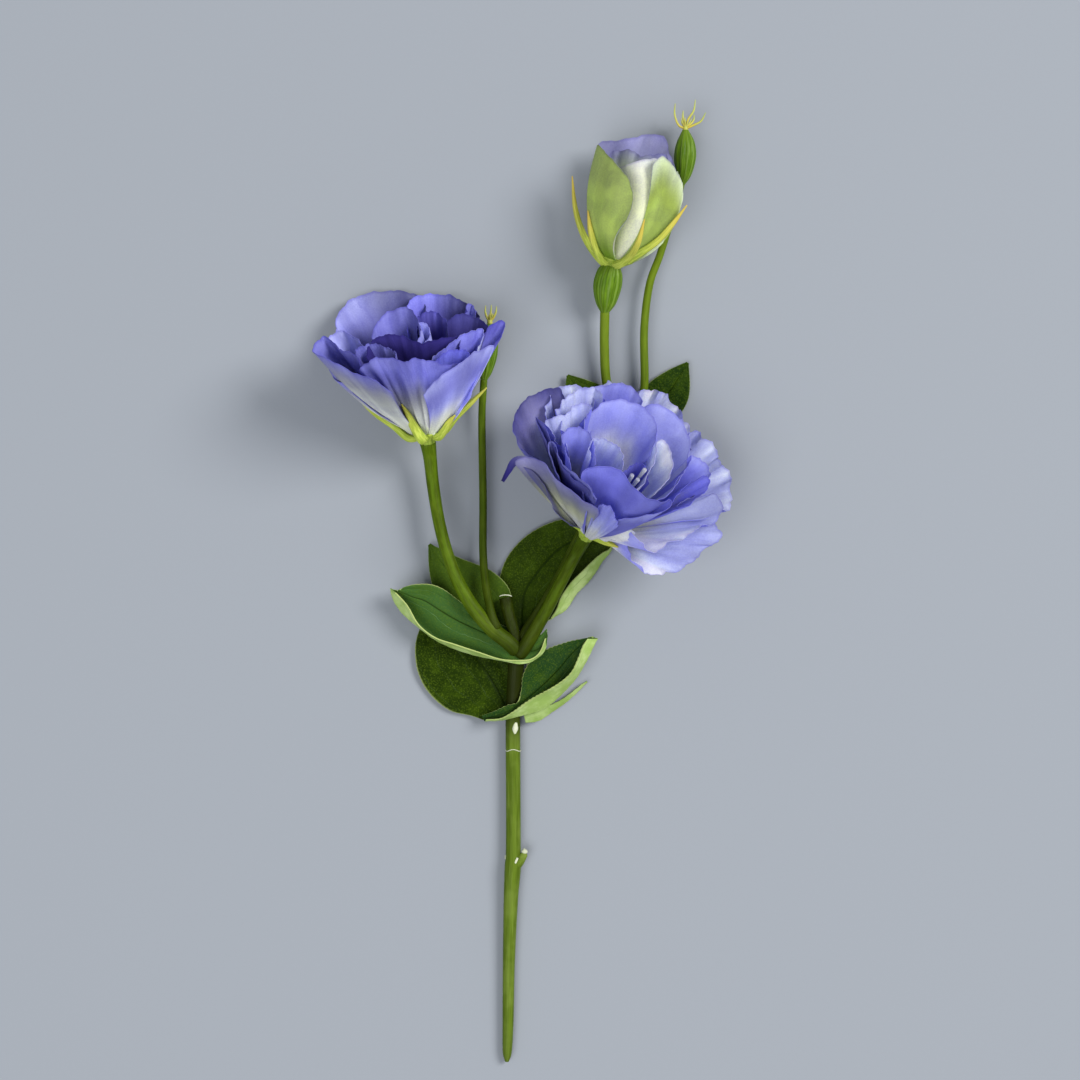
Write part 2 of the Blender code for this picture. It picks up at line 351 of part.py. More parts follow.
# their sepals: (x, y, z, radius) along each one, from inside the cup to the tip
SEPALS = {
    "calyx_left": [
        [(-41, 36.5, 17.5, 1.1), (-42, 36, 23, 1.9), (-44.5, 40, 27, 1.6), (-46.5, 44, 31, 1.15),
         (-48.5, 47.5, 35.5, 0.4)],
        [(-39, 37.5, 17, 1.1), (-36, 37, 19.5, 1.5), (-34, 39, 22.5, 1.3), (-32, 42, 25.5, 1),
         (-30, 44, 28.5, 0.4)],
        [(-38.5, 38.5, 15.5, 1.1), (-34.5, 39, 14.5, 1.3), (-30, 44, 17.5, 1.1), (-24.5, 49, 20.5, 0.9),
         (-19, 54, 23.5, 0.4)],
        [(-42.5, 37, 16, 1.1), (-47, 36.5, 17, 1.3), (-52, 40.5, 19.5, 1.15), (-58.5, 45, 22.5, 1),
         (-63, 49.5, 26, 0.85),
         (-66, 53, 29, 0.4)],
        [(-41.5, 38.5, 14, 1.1), (-42.5, 40.5, 12.5, 1.2), (-44.5, 44.5, 11, 1.1), (-46.5, 49, 9.5, 0.9),
         (-48.5, 53.5, 8, 0.4)],
    ],
    "calyx_right": [
        [(16.5, 1.5, 21, 1.1), (17, 3, 24.5, 1), (18.5, 4, 27.5, 0.8), (20, 4.5, 30.5, 0.35)],
        [(19.5, 2, 19.5, 1.1), (20.5, 2, 19.5, 1.1), (23.5, 0.5, 19.5, 0.95), (26.5, -0.5, 21, 0.35)],
        [(18.5, 1.5, 20, 1.1), (20.5, 0.5, 21.5, 1.1), (24, -1, 24.5, 1), (27.5, -2.5, 28, 0.4)],
        [(19, 3.5, 18.5, 1.1), (21.5, 4, 18, 1.1), (26, 6, 17.5, 1), (30.5, 8.5, 17.5, 0.4)],
        [(17, 4.5, 18, 1.1), (17, 7, 17, 1.1), (17.5, 12, 16.5, 1), (18, 17, 16, 0.4)],
        [(15.5, 4, 20, 1.1), (13.5, 5, 20.5, 1.1), (10, 7.5, 22.5, 0.9), (7, 10, 24.5, 0.35)],
    ],
    "calyx_bud": [
        [(25, 101, 13, 1.1), (23, 99.5, 12.5, 1.3), (18, 105.5, 12, 1.2), (14.5, 112.5, 12.5, 1.05),
         (12.5, 120, 14, 0.8),
         (11.5, 130, 17, 0.35)],
        [(25.5, 100.5, 15, 1.1), (23, 99.5, 16.5, 1.3), (20, 103.5, 19.5, 1.15), (18, 110, 21.5, 0.95),
         (17, 117, 22.5, 0.35)],
        [(27, 100, 16, 1.1), (27.5, 98, 20, 1.4), (31.5, 100, 26.5, 1.3), (34.5, 104.5, 34, 1),
         (36.5, 112, 38, 0.35)],
        [(29, 100, 14.5, 1.1), (30.5, 99.5, 15.5, 1.4), (36, 102.5, 19.5, 1.35), (42, 106.5, 22.5, 1.15),
         (47, 112, 24.5, 0.9),
         (52, 118.5, 26, 0.35)],
        [(27.5, 101, 11.5, 1.1), (27.5, 101.5, 8, 1.2), (28.5, 104.5, 4, 1.1), (30, 108, 1.5, 0.9),
         (31.5, 113, 0.9, 0.4)],
    ],
}
# the curled tip of the right bloom's left petal: (x, y, z, half width) along it
CURLED_TIP = [(-3, 26.5, 43.5, 1.6), (-6, 27.5, 44.5, 1.7), (-9, 27, 44, 1.3), (-11, 24, 42, 0.9),
              (-13, 20.5, 39.5, 0.5)]


# ---------------------------------------------------------------- small maths
def unit(v):
    v = np.asarray(v, float)
    return v / max(1e-12, float(np.linalg.norm(v)))


def smooth_table(values, t):
    """Values spaced evenly over 0..1, read at t along a smooth (Catmull-Rom) curve."""
    p = np.asarray(values, float)
    if p.ndim == 1:
        p = p[:, None]
    a = np.vstack([2 * p[0] - p[1], p, 2 * p[-1] - p[-2]])
    t = np.clip(np.asarray(t, float), 0.0, 1.0)
    x = t * (len(p) - 1)
    i = np.minimum(x.astype(int), len(p) - 2)
    f = (x - i)[..., None]
    p0, p1, p2, p3 = a[i], a[i + 1], a[i + 2], a[i + 3]
    out = 0.5 * (2 * p1 + (p2 - p0) * f + (2 * p0 - 5 * p1 + 4 * p2 - p3) * f ** 2
                 + (3 * p1 - p0 - 3 * p2 + p3) * f ** 3)
    return out[..., 0] if np.asarray(values).ndim == 1 else out


def smooth_path(points, count):
    """Points (x, y, z, and more) joined by a smooth curve, at even steps of length."""
    dense = smooth_table(points, np.linspace(0, 1, 24 * (len(points) - 1) + 1))
    step = np.linalg.norm(np.diff(dense[:, :3], axis=0), axis=1)
    run = np.concatenate([[0.0], np.cumsum(step)])
    s = np.linspace(0, run[-1], count)
    return np.column_stack([np.interp(s, run, dense[:, k]) for k in range(dense.shape[1])])


def ease(x):
    x = np.clip(x, 0.0, 1.0)
    return x * x * (3 - 2 * x)


# ---------------------------------------------------------------- a petal
def flower_axes(heading, raised):
    """Axis of a flower, the way across it that faces up, and the way to its right."""
    h, e = math.radians(heading), math.radians(raised)
    axis = np.array([math.cos(e) * math.sin(h), math.cos(e) * math.cos(h), math.sin(e)])
    up = unit(np.array([0, 0, 1.0]) - axis * axis[2])
    return axis, up, np.cross(axis, up)


def petal_grid(flower, petal, across, along, start=0.0):
    """Points of one petal as rows from its root to its edge, each from one side to the other.
    The root is a small copy of the edge, drawn in round the flower's axis."""
    belly, rim = petal
    axis, up, right = flower_axes(flower["heading"], flower["raised"])
    base = np.asarray(flower["base"], float)
    edge = smooth_path(rim, across + 1)
    spoke = (edge - base) - np.outer((edge - base) @ axis, axis)
    reach = float(np.linalg.norm(spoke, axis=1).max())
    out = unit(spoke.mean(axis=0))
    root = base + axis * flower["root_h"] + spoke * min(0.45, flower["root_r"] / reach)
    u = np.linspace(-1, 1, across + 1)[None, :] * np.ones((along + 1, 1))
    v = np.linspace(0, 1, along + 1)[:, None] * np.ones((1, across + 1))
    run = (start + (1 - start) * v)[..., None]
    grid = root[None, :, :] + (edge - root)[None, :, :] * run
    grid = grid + out * (belly * np.sin(math.pi * v ** 0.85) * (1 - 0.35 * u ** 2))[..., None]
    return grid, u, v


def strip_grid(line, across, along, roll=0.5):
    """A narrow curling strip along a line of (x, y, z, half width)."""
    path = smooth_path(line, along + 1)
    fwd = np.gradient(path[:, :3], axis=0)
    fwd /= np.linalg.norm(fwd, axis=1)[:, None]
    side = np.cross(fwd, [0, 0, 1.0])
    side /= np.linalg.norm(side, axis=1)[:, None]
    u = np.linspace(-1, 1, across + 1)[None, :] * np.ones((along + 1, 1))
    v = np.linspace(0, 1, along + 1)[:, None] * np.ones((1, across + 1))
    half = path[:, 3][:, None]
    grid = path[:, None, :3] + side[:, None, :] * (u * half)[..., None]
    grid[..., 2] -= roll * half * u ** 2
    return grid, u, v


# ---------------------------------------------------------------- a leaf
FINE_WAVES, TEETH = 34, 31      # along one blade
OUT_OF_STEP = 1.7               # radians, between the slow waves of a blade's two halves
MIN_HALF = 0.28                 # mm, half a blade's width where it runs out to a point
FOLD_AT = 0.62                  # how far out the third line of a lofted leaf lies


def lift(u, v, wave, fine):
    """A blade's slow waves, which grow towards its edges, and the fine ones between its veins."""
    size, count, phase = wave
    far, side = np.abs(u), np.sign(u)
    swing = np.sin(2 * math.pi * count * v + phase + OUT_OF_STEP * side)
    slow = size * swing * far ** 2 * np.sin(math.pi * v)
    quick = fine * np.sin(FINE_WAVES * math.pi * v - 5.0 * far + side) * far * (1 - far)
    return slow + 2.0 * quick


def bite(u, v, teeth):
    """How far small teeth stand out along the edges. They die out at stalk and tip."""
    notch = np.abs(np.sin(TEETH * math.pi * v + np.sign(u)))
    return teeth * notch * np.abs(u) ** 12 * ease(v * 6) * ease((1 - v) * 8)


def running_sum(slope, step):
    """Sum of a slope along each row, from 0."""
    return np.hstack([np.zeros((len(slope), 1)),
                      np.cumsum((slope[:, 1:] + slope[:, :-1]) / 2 * step, axis=1)])


def loft_grid(leaf, across, along, fine, teeth):
    """A leaf laid over its lines from stalk to tip, side by side."""
    rows = np.array([smooth_path(line, along + 1) for line in leaf["lines"]])
    s = np.linspace(0, 1, across + 1)
    grid = np.array([smooth_table(rows[:, k], s) for k in range(along + 1)])
    u = smooth_table((-1.0, 0.0, FOLD_AT, 1.0), s)[None, :] * np.ones((along + 1, 1))
    v = np.linspace(0, 1, along + 1)[:, None] * np.ones((1, across + 1))
    way = np.gradient(grid, axis=1)
    n = np.cross(way, np.gradient(grid, axis=0))
    n /= np.maximum(np.linalg.norm(n, axis=2, keepdims=True), 1e-9)
    way /= np.maximum(np.linalg.norm(way, axis=2, keepdims=True), 1e-9)
    grid = grid + n * lift(u, v, leaf["wave"],
                           fine)[..., None] + way * (np.sign(u) * bite(u, v, teeth))[..., None]
    return grid, u, v


def half_blade(leaf, sign, mid, side, norm, t, half, fine, teeth):
    """One half of a leaf, from its midrib to its edge. Its slope turns from one angle to another."""
    wide, slope = (leaf["left"], leaf["slope_left"]) if sign < 0 else (leaf["right"], leaf["slope_right"])
    steps = 8
    out = np.linspace(0, 1, half * steps + 1)[None, :]
    inner, outer = (smooth_table(s, t)[:, None] for s in slope)
    angle = np.radians(inner + (outer - inner) * out ** 1.4)
    across = running_sum(np.cos(angle), 1.0 / (half * steps))[:, ::steps]
    rise = running_sum(np.sin(angle), 1.0 / (half * steps))[:, ::steps]
    angle, far = angle[:, ::steps], out[:, ::steps] * np.ones((len(t), 1))
    v = t[:, None] * np.ones((1, half + 1))
    wide = np.maximum(smooth_table(wide, t), MIN_HALF)[:, None] + bite(sign * far, v, teeth)
    wave = lift(sign * far, v, leaf["wave"], fine)[..., None]
    tilted = norm[:, None, :] * np.cos(angle)[..., None] - sign * side[:, None, :] * np.sin(angle)[...,
                                                                                                   None]
    return (mid[:, None, :] + sign * (wide * across)[..., None] * side[:, None, :]
            + (wide * rise)[..., None] * norm[:, None, :] + wave * tilted)


def leaf_grid(leaf, across, along, fine=0.0, teeth=0.0):
    """Points of one leaf, as rows from stalk to tip, each from its left edge to its right."""
    if "lines" in leaf:
        return loft_grid(leaf, across, along, fine, teeth)
    t = np.linspace(0, 1, along + 1)
    mid = smooth_table(smooth_path(leaf["path"], 60), t)
    fwd = np.gradient(mid, axis=0)
    fwd /= np.linalg.norm(fwd, axis=1)[:, None]
    side = np.cross(fwd, [0.0, 0.0, 1.0])
    side /= np.linalg.norm(side, axis=1)[:, None]
    norm = np.cross(side, fwd)
    half = across // 2
    left, right = (half_blade(leaf, sign, mid, side, norm, t, half, fine, teeth) for sign in (-1, 1))
    grid = np.concatenate([left[:, ::-1], right[:, 1:]], axis=1)
    u = np.linspace(-1, 1, 2 * half + 1)[None, :] * np.ones((along + 1, 1))
    v = t[:, None] * np.ones((1, 2 * half + 1))
    return grid, u, v




# ---------------------------------------------------------------- the scene
for old in list(bpy.data.objects):
    bpy.data.objects.remove(old, do_unlink=True)

PART = bpy.data.collections.new("lisianthus_spray")
TOOLS = bpy.data.collections.new("cutters")
bpy.context.scene.collection.children.link(PART)
bpy.context.scene.collection.children.link(TOOLS)

MM = 0.001
WELD = 2e-7                     # m, points this close are one
SHARP_ABOVE = 38                # degrees, edges that stay crisp
MEND_TURNS = 8

spray = bpy.data.objects.new("spray", None)
spray.empty_display_size = 0.02
spray.location = [c * MM for c in SHIFT]
PART.objects.link(spray)

LOOKS = {  # colour, roughness
    "stem": ((0.13, 0.25, 0.04, 1), 0.45),
    "leaf": ((0.035, 0.10, 0.012, 1), 0.55),
    "petal": ((0.20, 0.19, 0.62, 1), 0.8),
    "bud": ((0.50, 0.58, 0.36, 1), 0.8),
    "calyx": ((0.40, 0.48, 0.09, 1), 0.5),
    "pod": ((0.13, 0.30, 0.06, 1), 0.45),
    "hair": ((0.52, 0.52, 0.08, 1), 0.5),
}


def material(name):
    m = bpy.data.materials.get(name)
    if m is None:
        colour, rough = LOOKS[name]
        m = bpy.data.materials.new(name)
        m.use_nodes = True
        b = m.node_tree.nodes["Principled BSDF"]
        b.inputs["Base Color"].default_value = colour
        b.inputs["Roughness"].default_value = rough
        b.inputs["Metallic"].default_value = 0.0
        m.diffuse_color = colour
    return m


def as_mesh(ob, name):
    """The object as its modifiers leave it, as a plain closed mesh in world space."""
    bpy.context.view_layer.update()
    me = bpy.data.meshes.new_from_object(ob.evaluated_get(bpy.context.evaluated_depsgraph_get()))
    me.transform(ob.matrix_world)
    bm = bmesh.new()
    bm.from_mesh(me)
    bmesh.ops.remove_doubles(bm, verts=bm.verts[:], dist=WELD)
    bmesh.ops.triangulate(bm, faces=bm.faces[:])
    bmesh.ops.recalc_face_normals(bm, faces=bm.faces[:])
    if bm.calc_volume(signed=True) < 0:
        bmesh.ops.reverse_faces(bm, faces=bm.faces[:])
    bm.to_mesh(me)
    bm.free()
    bpy.data.objects.remove(ob, do_unlink=True)
    new = bpy.data.objects.new(name, me)
    TOOLS.objects.link(new)
    return new


def tube(name, points, res=2, count=20, grow=0.0, section=None):
    """A round stem as a bevelled curve: points are (x, y, z, radius). section is another outline for it."""
    path = smooth_path(points, count)
    if grow:
        path[0, :3] -= unit(path[1, :3] - path[0, :3]) * grow
        path[-1, :3] += unit(path[-1, :3] - path[-2, :3]) * grow
    curve = bpy.data.curves.new(name, "CURVE")
    curve.dimensions = "3D"
    curve.use_fill_caps = True
    curve.bevel_resolution = res
    if section is None:
        curve.bevel_depth = MM
    else:
        curve.bevel_mode = "OBJECT"
        curve.bevel_object = section
    line = curve.splines.new("POLY")
    line.points.add(len(path) - 1)
    for p, (x, y, z, r) in zip(line.points, path):
        p.co = (x * MM, y * MM, z * MM, 1)
        p.radius = r + grow
    ob = bpy.data.objects.new(name, curve)
    TOOLS.objects.link(ob)
    return as_mesh(ob, name)


def star(ribs, depth):
    """A ribbed outline 1 mm in radius, for the pods."""
    curve = bpy.data.curves.new("ribbed_outline", "CURVE")
    line = curve.splines.new("POLY")
    line.points.add(2 * ribs - 1)
    for k, p in enumerate(line.points):
        a = math.pi * k / ribs
        r = (1.0 - depth * (k % 2)) * MM
        p.co = (r * math.cos(a), r * math.sin(a), 0, 1)
    line.use_cyclic_u = True
    ob = bpy.data.objects.new("ribbed_outline", curve)
    ob.hide_render = True
    ob.display_type = "WIRE"
    TOOLS.objects.link(ob)
    return ob


def blade(name, points, thick):
    """An open grid laid over the points, split into triangles, then made solid."""
    along, across = points.shape[0] - 1, points.shape[1] - 1
    bm = bmesh.new()
    bmesh.ops.create_grid(bm, x_segments=across, y_segments=along, size=1.0)
    for v in bm.verts:
        j = round((v.co.x + 1) / 2 * across)
        i = round((v.co.y + 1) / 2 * along)
        v.co = points[i, j] * MM
    bmesh.ops.triangulate(bm, faces=bm.faces[:], quad_method="SHORT_EDGE")
    me = bpy.data.meshes.new(name)
    bm.to_mesh(me)
    bm.free()
    ob = bpy.data.objects.new(name, me)
    TOOLS.objects.link(ob)
    solid = ob.modifiers.new("thickness", "SOLIDIFY")
    solid.thickness = thick * MM
    solid.offset = 0.0
    return as_mesh(ob, name)


def turned(name, profile, flower, steps=12):
    """A profile of (along, radius) turned about a flower's own axis, closed at both ends."""
    axis, up, right = flower_axes(flower["heading"], flower["raised"])
    outline = [(profile[-1][0], 0.0)] + list(reversed(profile)) + [(profile[0][0], 0.0)]
    me = bpy.data.meshes.new(name)
    edges = [(k, k + 1) for k in range(len(outline) - 1)]
    me.from_pydata([(r * MM, 0.0, h * MM) for h, r in outline], edges, [])
    ob = bpy.data.objects.new(name, me)
    TOOLS.objects.link(ob)
    turn = Matrix((up, np.cross(axis, up), axis)).transposed().to_4x4()
    ob.matrix_world = Matrix.Translation([c * MM for c in flower["base"]]) @ turn
    screw = ob.modifiers.new("turn", "SCREW")
    screw.axis = "Z"
    screw.steps = steps
    screw.render_steps = steps
    screw.use_merge_vertices = True
    screw.merge_threshold = 1e-5
    return as_mesh(ob, name)


def islands(bm):
    """Connected sets of faces, the one that holds the most volume first."""
    left, out = set(bm.faces), []
    while left:
        todo = [left.pop()]
        found = set(todo)
        while todo:
            f = todo.pop()
            for e in f.edges:
                for g in e.link_faces:
                    if g in left:
                        left.discard(g)
                        found.add(g)
                        todo.append(g)
        vol = 0.0
        for f in found:
            c = [v.co for v in f.verts]
            for k in range(1, len(c) - 1):
                vol += c[0].dot(c[k].cross(c[k + 1])) / 6
        out.append((vol, found))
    return sorted(out, key=lambda x: -x[0])


def keep_largest(ob):
    """Drops loose scraps, and the skins of sealed hollows."""
    bm = bmesh.new()
    bm.from_mesh(ob.data)
    bmesh.ops.remove_doubles(bm, verts=bm.verts[:], dist=WELD)
    bmesh.ops.triangulate(bm, faces=bm.faces[:])
    for turn in range(MEND_TURNS):
        # an edge that two folds of the skin share is closed up
        pinched = [e for e in bm.edges if len(e.link_faces) != 2]
        if not pinched:
            break
        bmesh.ops.collapse(bm, edges=pinched)
        bmesh.ops.dissolve_degenerate(bm, edges=bm.edges[:], dist=WELD)
        bmesh.ops.triangulate(bm, faces=bm.faces[:])
    for vol, faces in islands(bm)[1:]:
        bmesh.ops.delete(bm, geom=list(faces), context="FACES")
    bmesh.ops.triangulate(bm, faces=bm.faces[:])
    bm.to_mesh(ob.data)
    bm.free()
    return ob


def settle(ob):
    """Applies the modifiers of a mesh object and keeps its main body."""
    bpy.context.view_layer.update()
    done = bpy.data.meshes.new_from_object(ob.evaluated_get(bpy.context.evaluated_depsgraph_get()))
    ob.modifiers.clear()
    ob.data = done
    return keep_largest(ob)


def combine(ob, others, how, solver="EXACT"):
    """One Boolean of ob with a collection of others."""
    group = bpy.data.collections.new("group")
    bpy.context.scene.collection.children.link(group)
    for o in others:
        group.objects.link(o)
    mod = ob.modifiers.new("combine", "BOOLEAN")
    mod.operation = how
    mod.operand_type = "COLLECTION"
    mod.collection = group
    mod.solver = solver
    settle(ob)
    for o in others:
        bpy.data.objects.remove(o, do_unlink=True)
    bpy.data.collections.remove(group)
    return ob


def thin_out(ob, share):
    """Takes out the slivers that a fused bloom has along its crossings."""
    mod = ob.modifiers.new("thin", "DECIMATE")
    mod.decimate_type = "COLLAPSE"
    mod.ratio = share
    mod.use_collapse_triangulate = True
    return settle(ob)


def finish(ob, name, look):
    ob.name = name
    ob.data.name = name
    for c in list(ob.users_collection):
        c.objects.unlink(ob)
    PART.objects.link(ob)
    ob.parent = spray
    ob.data.materials.clear()
    ob.data.materials.append(material(look))
    ob.data.shade_smooth()
    ob.data.set_sharp_from_angle(angle=math.radians(SHARP_ABOVE))
    return ob


STEM_POINTS = {"main_stem": 30, "upper_stem": 12, "branch_left": 16, "branch_right": 12,
               "pod_stem_left": 14,
               "bud_stem": 9, "pod_stem_right": 17, "empty_socket": 4}


def stem(name, grow=0.0):
    return tube(name, STEMS[name], res=2, count=STEM_POINTS[name], grow=grow)


def pod(name, grow=0.0):
    outline = star(*POD_RIBS)
    ob = tube(name, PODS[name], count=9, grow=grow, section=outline)
    bpy.data.objects.remove(outline, do_unlink=True)
    return ob


def calyx(name, grow=0.0):
    """The cup under a flower, and its sepals as tapered strips."""
    c = CALYXES[name]
    f = FLOWERS[c["flower"]]
    axis, up, right = flower_axes(f["heading"], f["raised"])
    base = np.asarray(f["base"])
    profile = [(c["cup"][0][0] - grow, c["cup"][0][1] + grow)] + [(h, r + grow) for h, r in c["cup"][1:]]
    if grow:
        profile.append((c["cup"][-1][0] + grow, c["cup"][-1][1] + grow))
    cup = turned(name, profile, f)
    sepals = [tube("sepal", line, res=0, count=6, grow=grow) for line in SEPALS[name]]
    return cup, sepals


# ---------------------------------------------------------------- stems
# the main stem with its broken side shoot, then each one cut clear of those it grows from
main = combine(stem("main_stem"), [tube("stub", STUB, res=1, count=4)], "UNION")
finish(main, "main_stem", "stem")
ROOTS = {
    "upper_stem": ["main_stem"],
    "branch_left": ["main_stem", "upper_stem"],
    "branch_right": ["main_stem", "upper_stem", "branch_left"],
    "empty_socket": ["main_stem", "upper_stem", "branch_left", "branch_right"],
    "pod_stem_left": ["branch_left", "main_stem", "empty_socket"],
    "bud_stem": ["upper_stem"],
    "pod_stem_right": ["upper_stem", "bud_stem"],
}
for name, roots in ROOTS.items():
    cutters = [stem(r, GAP) for r in roots]
    if name == "empty_socket":
        end, back = np.asarray(STEMS[name][-1]), np.asarray(STEMS[name][-2])
        way = unit(end[:3] - back[:3])
        ends = [tuple(end[:3] + way * far) + (SOCKET_BORE,) for far in (-SOCKET_DEPTH, 2.0)]
        cutters.append(tube("bore", ends, count=2))
    finish(combine(stem(name), cutters, "DIFFERENCE"), name, "stem")

# ---------------------------------------------------------------- pods and their hairs
for name in PODS:
    finish(keep_largest(pod(name)), name, "pod")

for name, t in TUFTS.items():
    root = np.asarray(t["root"])
    way = unit(t["along"])
    knob = tube(name, [(*root, t["radius"]), (*(root + way * KNOB_LENGTH), t["radius"] * 0.8)], count=3)
    hairs = []
    for line in t["hairs"]:
        points = [(*(root + way * 0.5), 0.5)] + [(*(root + np.asarray(q)), r) for q,
                                                 r in zip(line, HAIR_RADII)]
        hairs.append(tube("hair", points, res=0, count=6))
    finish(combine(knob, hairs, "UNION"), name, "hair")

# ---------------------------------------------------------------- flowers
CARRIED_BY = {
    "calyx_left": lambda grow: stem("branch_left", grow),
    "calyx_right": lambda grow: stem("branch_right", grow),
    "calyx_bud": lambda grow: pod("bud_ovary", grow),
}
for name, carrier in CARRIED_BY.items():
    cup, sepals = calyx(name)
    cup = combine(cup, sepals, "UNION")
    finish(combine(cup, [carrier(GAP)], "DIFFERENCE"), name, "calyx")

# petals, fused bloom by bloom on a small heart inside the cup
PETAL_CELLS = (6, 3)           # across, along
SHARE_KEPT = 0.62              # of a bloom's triangles, once fused
HEARTS = {"bloom_left": [(-0.4, 2.0), (2.0, 5.2), (8.0, 8.0), (13.0, 9.0), (17.0, 5.0)],
          "bloom_right": [(-0.4, 2.0), (2.0, 5.2), (8.0, 8.0), (13.0, 9.0), (17.0, 5.0)],
          "bloom_bud": [(-0.4, 2.0), (1.0, 5.4), (6.0, 8.0), (14.0, 9.0), (20.0, 5.0)]}
CUP_OF = {"bloom_left": "calyx_left", "bloom_right": "calyx_right", "bloom_bud": "calyx_bud"}
for name, petals in PETALS.items():
    f = FLOWERS[name]
    heart = turned(name, HEARTS[name], f)
    blades = [blade("petal", petal_grid(f, p, *PETAL_CELLS)[0], PETAL_THICK) for p in petals.values()]
    if name == "bloom_right":
        blades.append(blade("tip", strip_grid(CURLED_TIP, 2, 6)[0], PETAL_THICK))
    # many thin blades cross here, which the faster solver for closed meshes handles
    body = combine(heart, blades, "UNION", solver="MANIFOLD")
    cup, sepals = calyx(CUP_OF[name], GAP)
    body = combine(body, [cup] + sepals, "DIFFERENCE", solver="MANIFOLD")
    finish(thin_out(body, SHARE_KEPT), name, "bud" if name == "bloom_bud" else "petal")

# ---------------------------------------------------------------- leaves, cut clear of the stems they clasp
CLASP = {
    "leaf_lower_left": ["main_stem"],
    "leaf_lower_right": ["main_stem"],
    "leaf_mid_left": ["main_stem", "upper_stem", "branch_left", "branch_right", "empty_socket"],
    "leaf_upper_left": ["main_stem", "branch_left", "pod_stem_left"],
    "leaf_upper_right": ["main_stem", "upper_stem", "branch_right", "empty_socket"],
    "bract_lower": ["main_stem"],
    "leaf_top_right": ["upper_stem", "pod_stem_right"],
    "leaf_top_left": ["upper_stem", "bud_stem"],
}
LEAF_CELLS = {"bract_lower": (4, 5), "leaf_top_right": (6, 6), "leaf_top_left": (6, 6)}
for name, leaf in LEAVES.items():
    cells = LEAF_CELLS.get(name, (8, 8))       # across, along
    ob = blade(name, leaf_grid(leaf, *cells)[0], LEAF_THICK)
    finish(combine(ob, [stem(r, GAP) for r in CLASP[name]], "DIFFERENCE"), name, "leaf")
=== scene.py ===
"""The looks of a cut lisianthus spray lying on a pale surface: fine petals, leaves, stems, pods and hairs
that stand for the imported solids, with their colours, a floor, soft light and a camera straight above."""
import math

import bpy
import numpy as np
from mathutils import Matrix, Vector


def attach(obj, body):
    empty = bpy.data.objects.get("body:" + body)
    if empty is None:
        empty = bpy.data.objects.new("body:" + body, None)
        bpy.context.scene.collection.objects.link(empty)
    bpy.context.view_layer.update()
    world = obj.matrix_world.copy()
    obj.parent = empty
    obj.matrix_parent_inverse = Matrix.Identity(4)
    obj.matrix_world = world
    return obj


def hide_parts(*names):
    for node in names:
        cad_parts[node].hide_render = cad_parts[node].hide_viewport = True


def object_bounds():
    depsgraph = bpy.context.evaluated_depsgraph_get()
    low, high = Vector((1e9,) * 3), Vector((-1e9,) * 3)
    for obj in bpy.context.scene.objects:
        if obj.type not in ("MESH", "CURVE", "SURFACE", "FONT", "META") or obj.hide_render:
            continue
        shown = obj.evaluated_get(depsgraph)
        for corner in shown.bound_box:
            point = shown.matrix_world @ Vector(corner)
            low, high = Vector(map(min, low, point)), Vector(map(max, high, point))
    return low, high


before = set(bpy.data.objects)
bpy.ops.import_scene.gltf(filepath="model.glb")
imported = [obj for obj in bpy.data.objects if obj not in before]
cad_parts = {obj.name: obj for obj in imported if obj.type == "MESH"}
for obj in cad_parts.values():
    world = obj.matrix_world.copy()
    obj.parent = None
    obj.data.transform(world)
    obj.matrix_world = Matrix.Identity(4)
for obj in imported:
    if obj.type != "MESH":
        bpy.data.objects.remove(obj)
CAD_LO, CAD_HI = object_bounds()

# ------------ sizes, in mm
# The spray lies on a surface at z = 0, with its stem along +Y and the flowers at the +Y end.
SHIFT = (5.757, 15.444, -0.001)   # puts the middle of the whole spray over the origin

